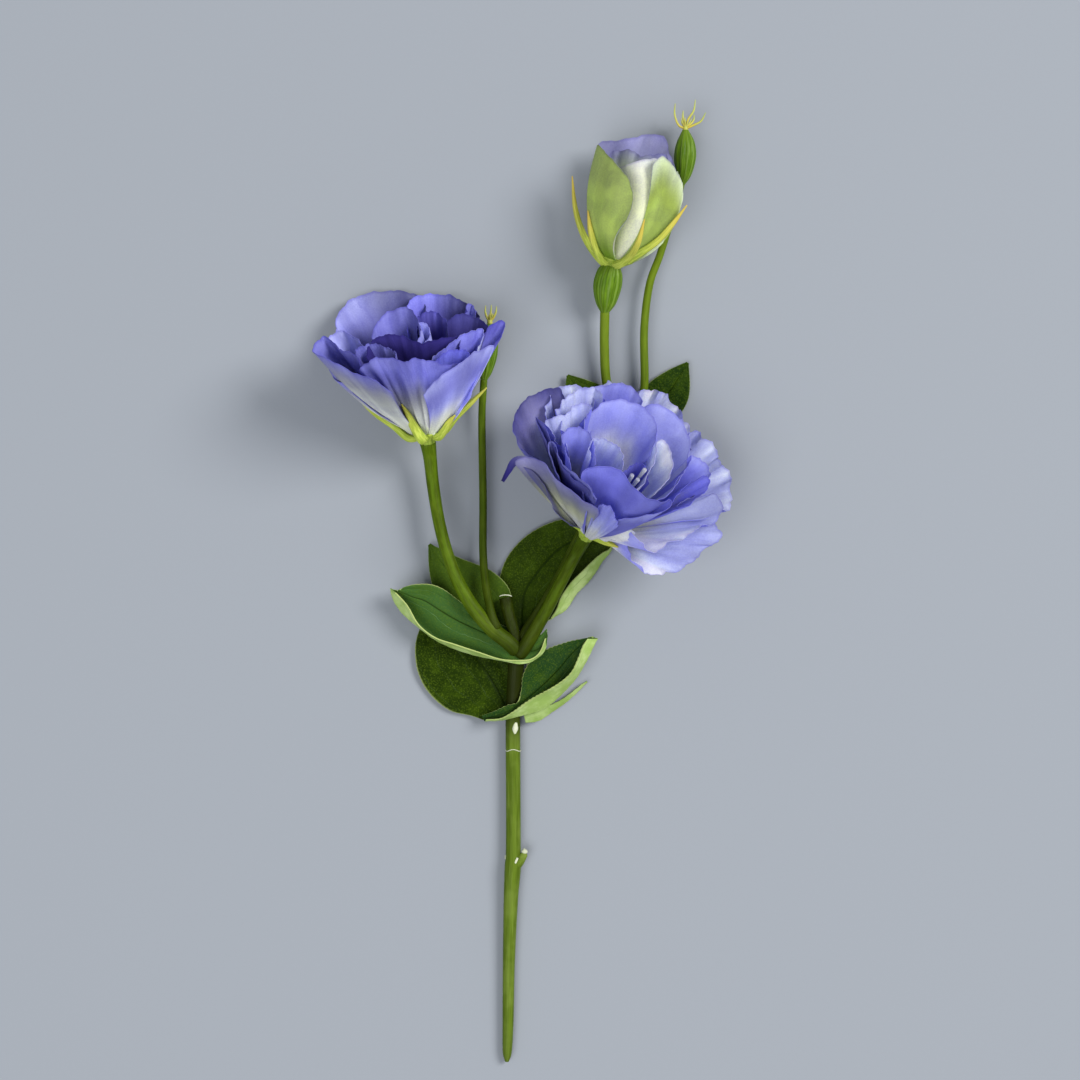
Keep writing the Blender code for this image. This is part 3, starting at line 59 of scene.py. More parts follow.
# stems: (x, y, z, radius) along each one
STEMS = {
    "main_stem": [(-12, -189.2, 2, 0.8), (-11.9, -185.8, 2, 1.65), (-11.6, -174.7, 2.1, 2),
        (-11.3, -153, 2.25, 2.2), (-10.6, -131, 2.6, 2.6), (-9.9, -119, 3, 2.95), (-9.7, -113, 2.75, 2.72),
        (-9.7, -94.6, 2.7, 2.66), (-9.8, -76.4, 2.7, 2.66), (-9.8, -63.7, 3, 2.66), (-9.2, -51, 3.9, 2.7),
        (-8.4, -42.5, 5, 3), (-7.9, -37.8, 5.8, 2.7)],
    "upper_stem": [(-7.6, -37, 5.9, 2.3), (-3.4, -31, 5.2, 2.2), (2.2, -22.6, 4.6, 2.15),
        (8.2, -11.6, 4.2, 2.1), (13.4, -1, 3.7, 2.05), (19.6, 12, 3.1, 2), (26.4, 29, 2.8, 2),
        (30.6, 42, 3, 2.3)],
    "branch_left": [(-8.6, -39.6, 7.6, 2.9), (-11.6, -36.6, 8.8, 2.9), (-17.6, -31.8, 10, 2.75),
        (-25.3, -22.5, 11, 2.5), (-31.6, -10, 11.2, 2.3), (-35.9, 4.6, 10.8, 2.2), (-38.4, 19, 10.2, 2.25),
        (-39.5, 29.5, 11.7, 2.45), (-40.2, 34.9, 14.15, 2.95)],
    "branch_right": [(-7.2, -41.2, 7.8, 2.6), (-4.4, -36.8, 9.4, 2.55), (1.4, -26.8, 10.8, 2.4),
        (7.4, -15.2, 11.4, 2.3), (12.4, -5.8, 12.4, 2.35), (16.2, 1, 17.2, 2.6)],
    "pod_stem_left": [(-15.4, -31.4, 11.2, 1.5), (-17.4, -26.6, 11.5, 1.5), (-19.6, -16, 8.6, 1.47),
        (-20.6, -4, 6.2, 1.43), (-20.6, 14.6, 5.4, 1.4), (-21, 43.4, 6.2, 1.35), (-20.3, 57.6, 7.4, 1.3)],
    "bud_stem": [(30, 43.6, 3.1, 1.8), (26.6, 49.6, 3.4, 1.75), (24, 58, 4.4, 1.7), (23.3, 70, 6, 1.68),
        (23.4, 82, 7.6, 1.7)],
    "pod_stem_right": [(31.8, 43.8, 3.1, 1.6), (35.4, 48.4, 3.5, 1.55), (37.8, 56, 4.2, 1.5),
        (37.7, 76, 5.2, 1.45), (39.6, 92.2, 5.6, 1.4), (43.5, 103.4, 5.9, 1.35), (47.8, 117.4, 6.6, 1.3),
        (51, 128.2, 7.4, 1.25)],
    "empty_socket": [(-8.8, -36.6, 7.6, 2), (-9.8, -32, 7.8, 2.1), (-11.6, -25.6, 7.8, 2.25),
        (-12.4, -21, 7.8, 2.35)],
}
STUB = [(-9.4, -118.4, 3.2, 2.1), (-7.6, -116.6, 3.5, 1.9), (-5.6, -113.9, 3.8, 1.25)]

# ribbed swellings: (x, y, z, radius) along each one
PODS = {
    "bud_ovary": [(23.4, 82.5, 7.7, 1.7), (23.7, 85.6, 8.4, 3.5), (24.2, 91, 9.8, 4.8), (25, 95.6, 11, 4.5),
        (25.7, 98.6, 11.9, 3.2)],
    "pod_left": [(-20.2, 58.2, 7.5, 1.3), (-19.8, 61.2, 7.8, 2.5), (-19, 67, 8.3, 3.4), (-18.3, 73, 8.6, 2.9),
        (-18.1, 77.6, 8.7, 1.2)],
    "pod_right": [(51.15, 128.7, 7.5, 1.25), (51.8, 132.4, 8.1, 2.8), (52.3, 138.2, 8.8, 3.75),
        (52.5, 143.2, 9.2, 3.1), (52.4, 147.4, 9.4, 1.2)],
}

# tufts on the pods: where each stands, and the points of its hairs from there
TUFTS = {
    "pod_hairs_right": {
        "root": (52.4, 147.9, 9.4), "along": (0, 1, 0.05), "radius": 0.95,
        "hairs": [[(-2.5, 1.6, 0.4), (-3.9, 5.2, 1.2), (-3.8, 9, 2.2)], [(1, 3.6, 0.8), (2.9, 6.6, 1.4),
            (3.5, 10.4, 1.8)], [(3, 1.6, 0.2), (5.6, 3, 0.6), (7.2, 5.8, 1.6)], [(-0.6, 2.6, 0.8),
            (-1, 4.6, 1.6), (-0.9, 6.4, 2.2)], [(1.6, 1.8, -0.6), (3, 3.6, -1), (3.2, 5.4, -0.8)]]},
    "pod_hairs_left": {
        "root": (-18.1, 78.2, 8.7), "along": (0.02, 1, 0.03), "radius": 0.95,
        "hairs": [[(-1, 2, 0.3), (-1.6, 4, 0.8), (-1.5, 6.2, 1.2)], [(0.1, 2.2, 0.5), (0.4, 4.2, 1),
            (0.6, 6.4, 1.6)], [(1.3, 2, 0.2), (2.2, 3.9, 0.5), (2.4, 6, 0.6)]]},
}

# leaves, by four lines from stalk to tip (one edge, the midrib, the fold and the other edge), or by the
# midrib, the half widths from stalk to tip and the slopes of each half at midrib and at edge. Wave is the
# size, count and phase of a leaf's slow waves.
LEAVES = {
    "leaf_lower_left": {"path": [(-12, -60.8, 2.2), (-15.6, -54, 1.2), (-21.6, -44.6, 0.8),
        (-29.4, -32.6, 0.8), (-37.6, -20.4, 1)], "left": (9.8, 17.4, 20.9, 21.7, 19.6, 13.8, 0.3),
        "right": (2, 6, 9.5, 11.5, 11, 8, 0.3), "slope_left": ((-2, 1, 2, 2), (2, 3, 4, 4)),
        "slope_right": ((4, 2, 1, 1), (2, 2, 2, 2)), "wave": (0.25, 2, 0.4)},
    "leaf_lower_right": {"wave": (0.3, 2.2, 1), "lines": [
        [(-21, -63.5, 5.4), (-16.5, -62, 6.8), (-12, -60, 7.6), (-8, -58.5, 7.8), (-6.5, -54, 6.2),
         (-6, -49.5, 4.6), (-3.5, -44.5, 3.2), (2, -40, 5.4), (10, -37, 8.4), (16.5, -35.5, 10.6),
         (19, -35, 11.2)],
        [(-20.5, -64.5, 5), (-15.5, -63.5, 6.6), (-11, -61.5, 7.4), (-5.5, -58, 6.4), (1, -52.5, 5.6),
         (6.5, -47, 6), (11.5, -41, 8), (17, -36, 10.6), (19.5, -35, 11.3)],
        [(-20, -65.5, 4.6), (-13.5, -65, 5), (-7, -63.5, 5.2), (1, -61.5, 4.4), (7, -56.5, 4.4),
         (12.5, -50.5, 5.8), (16.5, -44, 8), (19, -38.5, 10.2), (20.5, -35.5, 11.4)],
        [(-19.5, -65, 7), (-14.5, -64.5, 8), (-10.5, -62.5, 9.2), (-4.5, -58.5, 11.2), (3.5, -53.5, 13),
         (11, -48, 14), (14, -42.5, 14), (15.5, -38, 13), (17, -35.5, 12.2)]]},
    "leaf_mid_left": {"wave": (0.3, 2.2, 1), "lines": [
        [(2.5, -32, 9.6), (-0.5, -34.5, 8.4), (-6.5, -34.5, 6.4), (-12.5, -31.5, 6), (-21, -27, 6),
         (-28, -23, 7.2), (-34.5, -18, 8.6), (-39.5, -16, 9.4), (-45, -16, 9.7), (-49, -17, 9.7),
         (-50, -18, 9.4)],
        [(2.5, -33.5, 9.4), (1, -38, 8.6), (-2.5, -40, 8.3), (-7, -39.5, 7.9), (-14.5, -36, 7.2),
         (-22.5, -32.5, 6.4), (-30, -29, 6.2), (-36, -25.5, 6.2), (-41.5, -22, 6.6), (-46, -20.5, 7.4),
         (-49.5, -19, 8.6), (-52, -18, 9)],
        [(2.5, -35, 8.8), (1.5, -40, 8.4), (-2.5, -43.5, 8.6), (-7, -44.5, 9.2), (-12.5, -43.5, 8.4),
         (-17, -42.5, 6.2), (-22.5, -41.5, 4.6), (-31, -39, 3.9), (-38, -35.5, 3.8), (-44.5, -30.5, 4),
         (-50, -26, 4.8), (-53, -21.5, 6.4), (-54, -17.5, 8.6)],
        [(2, -35.5, 10), (0, -40.5, 10), (-3, -43, 10.2), (-7, -43.5, 10.4), (-13.5, -43, 9.8),
         (-21.5, -40.5, 8.6), (-30.5, -38, 8.8), (-37.5, -35.5, 9.4), (-43.5, -30.5, 10.2),
         (-47.5, -24, 10.8), (-50.5, -20.5, 11), (-52, -19, 11)]]},
    "leaf_upper_left": {"path": [(-11, -37.6, 4.6), (-17.2, -30, 3.6), (-25, -20.6, 2.9), (-33, -11.6, 2.4),
        (-40.2, -1.6, 2.4)], "left": (1.6, 6.2, 9.8, 10.6, 9, 5.4, 0.3),
        "right": (1.6, 8, 12.4, 12, 8.6, 4.6, 0.3), "slope_left": ((4, 2, 4, 6), (4, 6, 8, 8)),
        "slope_right": ((4, 2, 2, 4), (6, 6, 8, 10)), "wave": (0.3, 2, 0.9)},
    "leaf_upper_right": {"wave": (0.3, 2.2, 1), "lines": [
        [(-10, -31.5, 3.4), (-13.5, -25.5, 1.6), (-15, -19, 1.1), (-14, -11.5, 1.1), (-11, -5, 1.1),
         (-5.5, 1, 1.2), (2, 5.5, 1.2), (10, 7.5, 1.6), (18, 4.5, 2.4), (22.5, 2, 3), (24.5, 0.5, 3.3)],
        [(-6.5, -32.5, 3.4), (-6.5, -25.5, 1.6), (-5.5, -19, 1.1), (-1.5, -12.5, 0.9), (3, -7, 0.8),
         (8, -2.5, 0.7), (13.5, 0, 0.8), (18.5, 0.5, 1.6), (22.5, 0.5, 2.6), (25.5, -0.5, 3.4)],
        [(3.5, -29, 2.6), (5.5, -27.5, 1.4), (8.5, -25.5, 1), (12.5, -20, 1), (17, -15, 1.2), (20, -11, 1.6),
         (22.5, -7.5, 2), (25, -4.5, 2.6), (26.5, -1.5, 3.5)],
        [(4, -28.5, 3), (6, -25, 4.4), (7.5, -21, 5.6), (10, -17.5, 6.4), (13, -13.5, 6.8), (17, -9.5, 6.8),
         (22.5, -5, 6), (25, -3.5, 5), (26, -2, 4.8)]]},
    "bract_lower": {"path": [(-5.6, -64.6, 3), (-1.4, -63.6, 2.6), (3.2, -61.6, 2.1), (8.2, -58.8, 1.9),
        (12.7, -55.2, 1.9), (15.6, -52.6, 2.1), (17.1, -51.4, 2.4)],
        "left": (1.6, 2.2, 1.5, 1, 0.8, 0.6, 0.3), "right": (1.8, 2.2, 1.5, 1, 0.8, 0.6, 0.3),
        "slope_left": ((10, 10), (20, 20)), "slope_right": ((10, 10), (20, 20)), "wave": (0.1, 2, 0)},
    "leaf_top_right": {"path": [(34.2, 42.4, 2), (40.4, 46.8, 1.2), (47, 54, 1.2), (53.6, 64.4, 2.2)],
        "left": (1.4, 5, 7.4, 7.2, 4.6, 0.3), "right": (1.4, 5.6, 8.2, 7.6, 4.6, 0.3),
        "slope_left": ((8, 6, 6), (14, 14, 14)), "slope_right": ((6, 4, 4), (10, 10, 14)),
        "wave": (0.25, 2, 0.5)},
    "leaf_top_left": {"path": [(27.2, 42.6, 2), (21.6, 46.6, 1.2), (15.6, 52.2, 1.2), (10, 59.8, 2.2)],
        "left": (1.4, 5, 7.6, 7.2, 4.6, 0.3), "right": (1.4, 5, 7.2, 7, 4.4, 0.3), "slope_left": ((8, 6, 6),
        (12, 12, 12)), "slope_right": ((6, 4, 4), (10, 12, 12)), "wave": (0.25, 2, 1.5)},
}

FLOWERS = {
    "bloom_left": {"base": (-40.5, 36.9, 15.2), "heading": -9, "raised": 29, "root_r": 4.8, "root_h": 2.2},
    "bloom_right": {"base": (17, 2.4, 18.8), "heading": 27, "raised": 45, "root_r": 4.8, "root_h": 2.2},
    "bloom_bud": {"base": (26.8, 99.6, 13.4), "heading": 14, "raised": 14, "root_r": 6.4, "root_h": 1.6},
}

# petals: how far each bellies outward, and its edge (x, y, z) from one side round to the other
PETALS = {"bloom_left": {
    "back left": (3.5, [(-65, 60.5, 24), (-72, 71, 16), (-73.5, 78.5, 11), (-71.5, 84, 7), (-67, 88, 4),
        (-60, 90, 2.6), (-52.5, 90.5, 2.2), (-46, 89.5, 2.2), (-42, 86, 5), (-40, 78.5, 12)]),
    "back right": (3.5, [(-47, 75, 20), (-48.5, 80, 13), (-48, 84.5, 9), (-46, 87.5, 6), (-42, 89, 4.5),
        (-36.5, 89, 4), (-32, 88.5, 5), (-27.5, 86, 7), (-24, 83, 10), (-22.5, 79.5, 14), (-23.5, 72.5, 20)]),
    "back fold": (2, [(-27.5, 76.5, 18), (-26.5, 83.5, 13), (-25, 85, 12), (-23.5, 82.5, 13.5),
        (-22.5, 79, 16.5)]),
    "left inside": (2.5, [(-66, 63, 34), (-73, 67, 31), (-74.5, 70.5, 29), (-73, 73, 27), (-70, 74, 26.5),
        (-66, 72, 28), (-62.5, 69, 31), (-61, 65, 35)]),
    "centre": (3.5, [(-57.5, 66.5, 30), (-59, 72, 27), (-58, 76.5, 24), (-55.5, 80, 22), (-52, 82, 21),
        (-47.5, 83, 21), (-45, 81, 22), (-43, 77, 25), (-41.5, 72, 29), (-41.5, 67.5, 33)]),
    "centre right": (2.5, [(-43, 72, 26), (-43.5, 76, 23), (-43, 79.5, 20), (-40.5, 81.5, 18.5),
        (-37, 81.5, 18.5), (-34, 79, 20), (-33.5, 75.5, 23)]),
    "right inner": (3, [(-39, 67.5, 35), (-39, 70.5, 32), (-35.5, 75.5, 28), (-31.5, 79, 25.5),
        (-28, 80.5, 24.5), (-23.5, 79, 25), (-19.5, 77, 27), (-19.5, 73.5, 28.5), (-23.5, 69.5, 29.5)]),
    "curled strip": (2, [(-44.5, 67, 38), (-43.5, 69.5, 36), (-42, 73, 34), (-42.5, 76.5, 32),
        (-40.5, 76, 32), (-38.5, 73, 33), (-39.5, 70.5, 35), (-41.5, 68, 37)]),
    "front inner": (1.5, [(-61, 64, 40), (-60, 68, 39), (-57.5, 70.5, 39), (-53.5, 71.5, 39.5),
        (-49, 71.5, 40), (-44.5, 69.5, 40), (-41, 68.5, 40), (-38, 69.5, 39.5), (-33, 70.5, 38),
        (-28, 71, 37), (-27.5, 67, 38)]),
    "left fold": (1.5, [(-63.5, 63, 42), (-64.5, 66, 40), (-61, 68, 40), (-57, 68, 40.5), (-53, 67, 41),
        (-50, 65.5, 42), (-50, 63, 43)]),
    "far left inside": (1.5, [(-75.5, 62.5, 37.5), (-79, 65.5, 39), (-78.5, 68.5, 38), (-76, 71, 36),
        (-73.5, 70, 37), (-69.5, 67, 40), (-64.5, 64.5, 43), (-62.5, 61.5, 45), (-61.5, 58.5, 46)]),
    "right blue": (2.5, [(-35, 60, 44), (-37, 62.5, 43), (-34, 66, 41), (-30.5, 69.5, 39), (-26, 72.5, 37),
        (-20, 74, 34), (-20.5, 69.5, 35), (-23, 65.5, 38)]),
    "right deep": (1.5, [(-33.5, 59, 46), (-36.5, 61.5, 46), (-35, 63.5, 45.5), (-31, 66, 44), (-26, 66, 42),
        (-25, 64, 43), (-27.5, 60.5, 45)]),
    "far right tip": (2, [(-23.5, 62.5, 30), (-21.5, 67.5, 30), (-21, 71.5, 29), (-18, 75.5, 28),
        (-14.5, 77.5, 27), (-13, 77.5, 26.5), (-13, 75.5, 27), (-14, 72, 28), (-16, 68.5, 30),
        (-18.5, 66, 31)]),
    "front middle": (1.2, [(-63, 59, 46), (-60.5, 61, 48.5), (-57, 63.5, 50), (-54.5, 62.5, 50),
        (-50.5, 62, 50.5), (-46.5, 61.5, 51), (-43, 62.5, 51), (-39.5, 62, 50.5), (-35, 61, 50),
        (-30.5, 61, 49), (-27.5, 61, 46)]),
    "front left": (2.2, [(-54, 42.5, 26), (-60, 47, 29), (-65.5, 52, 32), (-68, 55, 33), (-72.5, 57, 34),
        (-75, 62, 38), (-78.5, 65, 42), (-73.5, 62.5, 46), (-64, 58, 50), (-56.5, 55, 52), (-51, 51, 50)]),
    "front right": (2.5, [(-40, 49.5, 47), (-38, 52.5, 50), (-34, 56.5, 52), (-28.5, 60, 52), (-24.5, 63, 50),
        (-20.5, 66, 46), (-16, 68, 40), (-17, 65, 38), (-19.5, 61, 36.5), (-21.5, 56.5, 35), (-24, 51.5, 33),
        (-27.5, 47, 30), (-30.5, 43, 27)]),
}, "bloom_right": {
    "top fringe": (3.5, [(24.5, 42.5, 20), (23, 55.5, 13), (28, 56.5, 12.5), (33.5, 54.5, 12),
        (37.5, 53.5, 12), (42.5, 54, 12), (47.5, 49.5, 13), (52, 43.5, 15), (53, 38.5, 17), (48, 32, 24)]),
    "right fringe": (3, [(46.5, 20, 26), (54, 38, 17), (59, 36.5, 17), (63.5, 31.5, 18), (64, 27, 20),
        (67, 25.5, 21), (68, 19.5, 23), (67, 13.5, 26), (63.5, 9, 29), (57.5, 8, 33)]),
    "far left": (3, [(4.5, 20, 34), (2, 26.5, 34), (-3, 29.5, 35), (-8, 33, 35), (-9.5, 38, 34),
        (-8.5, 44.5, 31), (-4.5, 50, 28), (1.5, 53, 25), (7, 54, 24), (10, 47, 26)]),
    "top violet": (3, [(17.5, 39.5, 28), (15.5, 52.5, 20), (19.5, 54.5, 18), (24.5, 55.5, 17), (30, 56, 16.5),
        (34.5, 53, 17), (36.5, 48, 20), (34.5, 39.5, 27)]),
    "left ruffle 1": (3, [(7.5, 31.5, 36), (2.5, 41, 31), (2.5, 47, 27), (4.5, 52.5, 23), (9, 55, 21),
        (13.5, 55, 20), (18.5, 53.5, 20), (19.5, 49, 25)]),
    "left ruffle 2": (3, [(10, 33, 38), (6.5, 43.5, 33), (7.5, 48.5, 30), (11, 52, 27), (15.5, 54, 25),
        (20, 53.5, 25), (22, 50.5, 28)]),
    "left ruffle 3": (2.5, [(9, 29.5, 42), (2.5, 41, 36), (5, 43.5, 35), (9, 44.5, 34), (11.5, 47, 33),
        (17.5, 48, 33), (16.5, 44.5, 36), (15, 39.5, 39)]),
    "right inner": (3.5, [(34, 16.5, 44), (37.5, 30.5, 36), (36, 46, 27), (41.5, 48, 25), (47, 45.5, 24),
        (51.5, 39.5, 25), (53, 33.5, 27), (52, 27.5, 30), (49, 21.5, 35), (44.5, 16, 41), (40.5, 13.5, 45)]),
    "back inner": (3.5, [(19, 26.5, 38), (14.5, 39, 34), (15, 41.5, 33), (18, 45, 32), (22.5, 48.5, 31),
        (28, 49.5, 30.5), (33.5, 48, 30.5), (37.5, 46, 31), (41, 39, 33), (39, 29, 38)]),
    "throat ring": (0.5, [(29, 18.5, 42), (29, 23, 40), (31.5, 25.5, 39), (35.5, 26.5, 39), (37.5, 24.5, 40),
        (38, 19.5, 43)]),
    "throat curl": (1, [(32, 16.5, 46), (35.5, 19.5, 45), (39, 24.5, 41.5), (41, 30, 39), (41, 34, 37.5),
        (43, 35, 37), (45.5, 32.5, 37.5), (46.5, 28, 39.5), (45.5, 23, 42.5), (42, 18, 45.5),
        (39.5, 16, 47)]),
    "right lavender": (2.5, [(46, 16.5, 38), (52.5, 27.5, 31), (53.5, 30, 30), (58.5, 27, 29), (60, 22.5, 31),
        (56, 20, 35)]),
    "left inner 1": (2.5, [(11, 24.5, 46.5), (10, 28, 46), (7.5, 35.5, 42), (10, 39, 40.5), (14, 39.5, 40),
        (17.5, 36.5, 42), (18.5, 31, 45), (19, 26, 47)]),
    "left inner 2": (2.5, [(17.5, 28.5, 46), (17.5, 34.5, 44), (21.5, 35.5, 43), (26.5, 32.5, 44.5),
        (29, 28, 47), (28.5, 24, 49)]),
    "left edge 1": (1.5, [(4.5, 26.5, 45), (2.5, 31.5, 43), (-1.5, 42.5, 38), (0.5, 40.5, 40),
        (3.5, 34.5, 43), (7.5, 26, 49), (11.5, 21.5, 53), (16, 18, 56), (19.5, 13.5, 57)]),
    "left edge 2": (1.5, [(6, 22, 50), (4.5, 27, 47), (3, 33.5, 44), (5, 33, 45), (8, 26, 50),
        (12.5, 22.5, 54), (17, 18.5, 57), (19.5, 14, 58)]),
    "right violet": (1.5, [(40.5, 11.5, 46), (45.5, 13, 44), (49, 17, 41), (53, 20, 39), (57.5, 22.5, 37),
        (59.5, 21, 36.5), (58, 16.5, 38), (52, 12.5, 41), (46, 10.5, 44)]),
    "lower right": (2, [(29, 5.5, 36), (32.5, 2.5, 38), (36, -2.5, 38.5), (40, -4.5, 38.5), (44, -2, 38.5),
        (49, 0.5, 38), (54.5, 4, 36.5), (61, 6.5, 34), (64, 9.5, 32.5), (63, 15, 32), (57.5, 16.5, 34),
        (47.5, 12.5, 40)]),
    "lowest": (2, [(26, 0.5, 26), (30, 0.5, 28.5), (32.5, -6, 30.5), (36, -10, 31), (41, -12, 31.2),
        (48.5, -11, 31), (54, -7.5, 30), (58, -3.5, 29.5), (63, -0.5, 29), (64, 3, 28.5), (61.5, 6, 28.5)]),
    "front inner": (2, [(15.5, 9, 48), (14, 22, 54), (19, 25, 54.5), (25.5, 25, 55), (28.5, 22.5, 55.5),
        (32, 18, 56), (36.5, 14.5, 56), (42, 13, 54), (45, 14, 52), (43.5, 11, 52), (35.5, 8, 50),
        (27, 6.5, 48)]),
    "front base": (1, [(17.5, 6.5, 36), (21.5, 7.5, 39), (27.5, 5, 39.5), (32, 3, 39), (33, 0.5, 36),
        (29.5, -0.5, 31), (23, -0.5, 26)]),
    "front small": (1, [(18.5, 10.5, 47), (22, 12, 50.5), (25.5, 9.5, 51), (27, 5.5, 47), (26.5, 4, 43)]),
    "left outer": (1.5, [(12, 5, 28), (6.5, 9.5, 32), (2.5, 16.5, 38), (-1, 22.5, 42.5), (-5, 25, 44.5),
        (-8, 26, 45), (-8.5, 27.5, 46.5), (-4.5, 29, 47), (-0.5, 28, 48), (2.5, 25.5, 50), (5, 21, 52),
        (10, 18, 54), (15, 13.5, 55), (19.5, 11, 53), (20, 8, 46)]),
}, "bloom_bud": {
    "back": (3, [(23.5, 106, 8), (21, 115, 7), (20.5, 128.5, 9), (20.5, 141, 13), (25, 143.5, 13),
        (32, 144, 12.5), (39.5, 146, 12.5), (45.5, 143.5, 13), (46.5, 138.5, 13), (49, 131.5, 13),
        (49.5, 123.5, 12), (46.5, 113.5, 10), (41, 106, 9)]),
    "left side": (1.5, [(24, 101, 11), (20, 110.5, 10), (19, 119.5, 10), (19.5, 128, 12), (20.5, 136, 16),
        (23.5, 127, 20)]),
    "right side": (1.5, [(46, 126.5, 22), (49, 131.5, 18), (50.5, 127.5, 15), (50.5, 122, 13.5),
        (47.5, 115.5, 12), (42, 108, 11)]),
    "inner lilac": (2, [(24.5, 115.5, 21), (23, 132.5, 21), (25, 137.5, 22), (28, 138.5, 23), (32.5, 138, 25),
        (36.5, 136, 26), (42.5, 137, 25), (45.5, 134.5, 23), (43, 123, 24)]),
    "middle": (4.5, [(24.5, 101, 14), (23.5, 107.5, 14), (23.5, 116.5, 15), (24.5, 126, 18),
        (27, 131.5, 25.5), (31.5, 132.5, 30), (36.5, 134, 31), (41.5, 134.5, 28), (43.5, 130, 22),
        (44, 121, 17), (42, 112, 14), (39.5, 105.5, 13)]),
    "right": (4.5, [(37, 125, 34.5), (38, 129, 35), (42, 134.5, 33), (45.5, 133.5, 31), (48.5, 130, 27.5),
        (50.5, 126, 24.5), (50.5, 121, 22.5), (48.5, 116.5, 21.5), (45, 113.5, 21), (42.5, 110.5, 20.5),
        (39, 105, 18)]),
    "left": (4.5, [(22, 101, 16), (19.5, 107.5, 16.5), (19, 114, 16.5), (19, 121.5, 17.5), (19.5, 128, 19),
        (20, 134.5, 22), (20.5, 140, 24), (22.5, 137.5, 29), (25.5, 133.5, 32.5), (28.5, 130, 35),
        (31, 126, 36), (32.5, 121.5, 36), (32, 116.5, 35), (30.5, 112.5, 34)]),
}}

# green cups under the flowers: (along, radius) of each cup
CALYXES = {
    "calyx_left": {"flower": "bloom_left", "cup": [(-1.8, 2.9), (0.4, 3.6), (2.2, 4.7), (3, 4.9)]},
    "calyx_right": {"flower": "bloom_right", "cup": [(-1.8, 2.7), (0.4, 3.4), (2.2, 4.6), (3, 4.8)]},
    "calyx_bud": {"flower": "bloom_bud", "cup": [(-1.4, 2.6), (-0.4, 3.8), (0.8, 5.6), (1.4, 6.2)]},
}
# their sepals: (x, y, z, radius) along each one, from inside the cup to the tip
SEPALS = {"calyx_left": [
    [(-41, 36.5, 17.5, 1.1), (-42, 36, 23, 1.9), (-44.5, 40, 27, 1.6), (-46.5, 44, 31, 1.15),
     (-48.5, 47.5, 35.5, 0.4)],
    [(-39, 37.5, 17, 1.1), (-36, 37, 19.5, 1.5), (-34, 39, 22.5, 1.3), (-32, 42, 25.5, 1),
     (-30, 44, 28.5, 0.4)],
    [(-38.5, 38.5, 15.5, 1.1), (-34.5, 39, 14.5, 1.3), (-30, 44, 17.5, 1.1), (-24.5, 49, 20.5, 0.9),
     (-19, 54, 23.5, 0.4)],
    [(-42.5, 37, 16, 1.1), (-47, 36.5, 17, 1.3), (-52, 40.5, 19.5, 1.15), (-58.5, 45, 22.5, 1),
     (-63, 49.5, 26, 0.85), (-66, 53, 29, 0.4)],
    [(-41.5, 38.5, 14, 1.1), (-42.5, 40.5, 12.5, 1.2), (-44.5, 44.5, 11, 1.1), (-46.5, 49, 9.5, 0.9),
     (-48.5, 53.5, 8, 0.4)],
], "calyx_right": [
    [(16.5, 1.5, 21, 1.1), (17, 3, 24.5, 1), (18.5, 4, 27.5, 0.8), (20, 4.5, 30.5, 0.35)],
    [(19.5, 2, 19.5, 1.1), (20.5, 2, 19.5, 1.1), (23.5, 0.5, 19.5, 0.95), (26.5, -0.5, 21, 0.35)],
    [(18.5, 1.5, 20, 1.1), (20.5, 0.5, 21.5, 1.1), (24, -1, 24.5, 1), (27.5, -2.5, 28, 0.4)],
    [(19, 3.5, 18.5, 1.1), (21.5, 4, 18, 1.1), (26, 6, 17.5, 1), (30.5, 8.5, 17.5, 0.4)],
    [(17, 4.5, 18, 1.1), (17, 7, 17, 1.1), (17.5, 12, 16.5, 1), (18, 17, 16, 0.4)],
    [(15.5, 4, 20, 1.1), (13.5, 5, 20.5, 1.1), (10, 7.5, 22.5, 0.9), (7, 10, 24.5, 0.35)],
], "calyx_bud": [
    [(25, 101, 13, 1.1), (23, 99.5, 12.5, 1.3), (18, 105.5, 12, 1.2), (14.5, 112.5, 12.5, 1.05),
     (12.5, 120, 14, 0.8), (11.5, 130, 17, 0.35)],
    [(25.5, 100.5, 15, 1.1), (23, 99.5, 16.5, 1.3), (20, 103.5, 19.5, 1.15), (18, 110, 21.5, 0.95),
     (17, 117, 22.5, 0.35)],
    [(27, 100, 16, 1.1), (27.5, 98, 20, 1.4), (31.5, 100, 26.5, 1.3), (34.5, 104.5, 34, 1),
     (36.5, 112, 38, 0.35)],
    [(29, 100, 14.5, 1.1), (30.5, 99.5, 15.5, 1.4), (36, 102.5, 19.5, 1.35), (42, 106.5, 22.5, 1.15),
     (47, 112, 24.5, 0.9), (52, 118.5, 26, 0.35)],
    [(27.5, 101, 11.5, 1.1), (27.5, 101.5, 8, 1.2), (28.5, 104.5, 4, 1.1), (30, 108, 1.5, 0.9),
     (31.5, 113, 0.9, 0.4)],
]}
# the curled tip of the right bloom's left petal: (x, y, z, half width) along it
CURLED_TIP = [(-3, 26.5, 43.5, 1.6), (-6, 27.5, 44.5, 1.7), (-9, 27, 44, 1.3), (-11, 24, 42, 0.9),
    (-13, 20.5, 39.5, 0.5)]


# ------------ small maths
TINY = 1e-9
PATH_STEPS = 24                 # between two points of a path, before it is cut into even steps


def unit(v):
    v = np.asarray(v, float)
    return v / max(TINY, float(np.linalg.norm(v)))


def units(rows):
    """Many vectors, each made one long."""
    return rows / np.maximum(np.linalg.norm(rows, axis=-1, keepdims=True), TINY)


def frame_of(grid):
    """Unit vectors at each point of a grid: its normal, the way along its row and along its column."""
    row, column = np.gradient(grid, axis=1), np.gradient(grid, axis=0)
    return units(np.cross(row, column)), units(row), units(column)


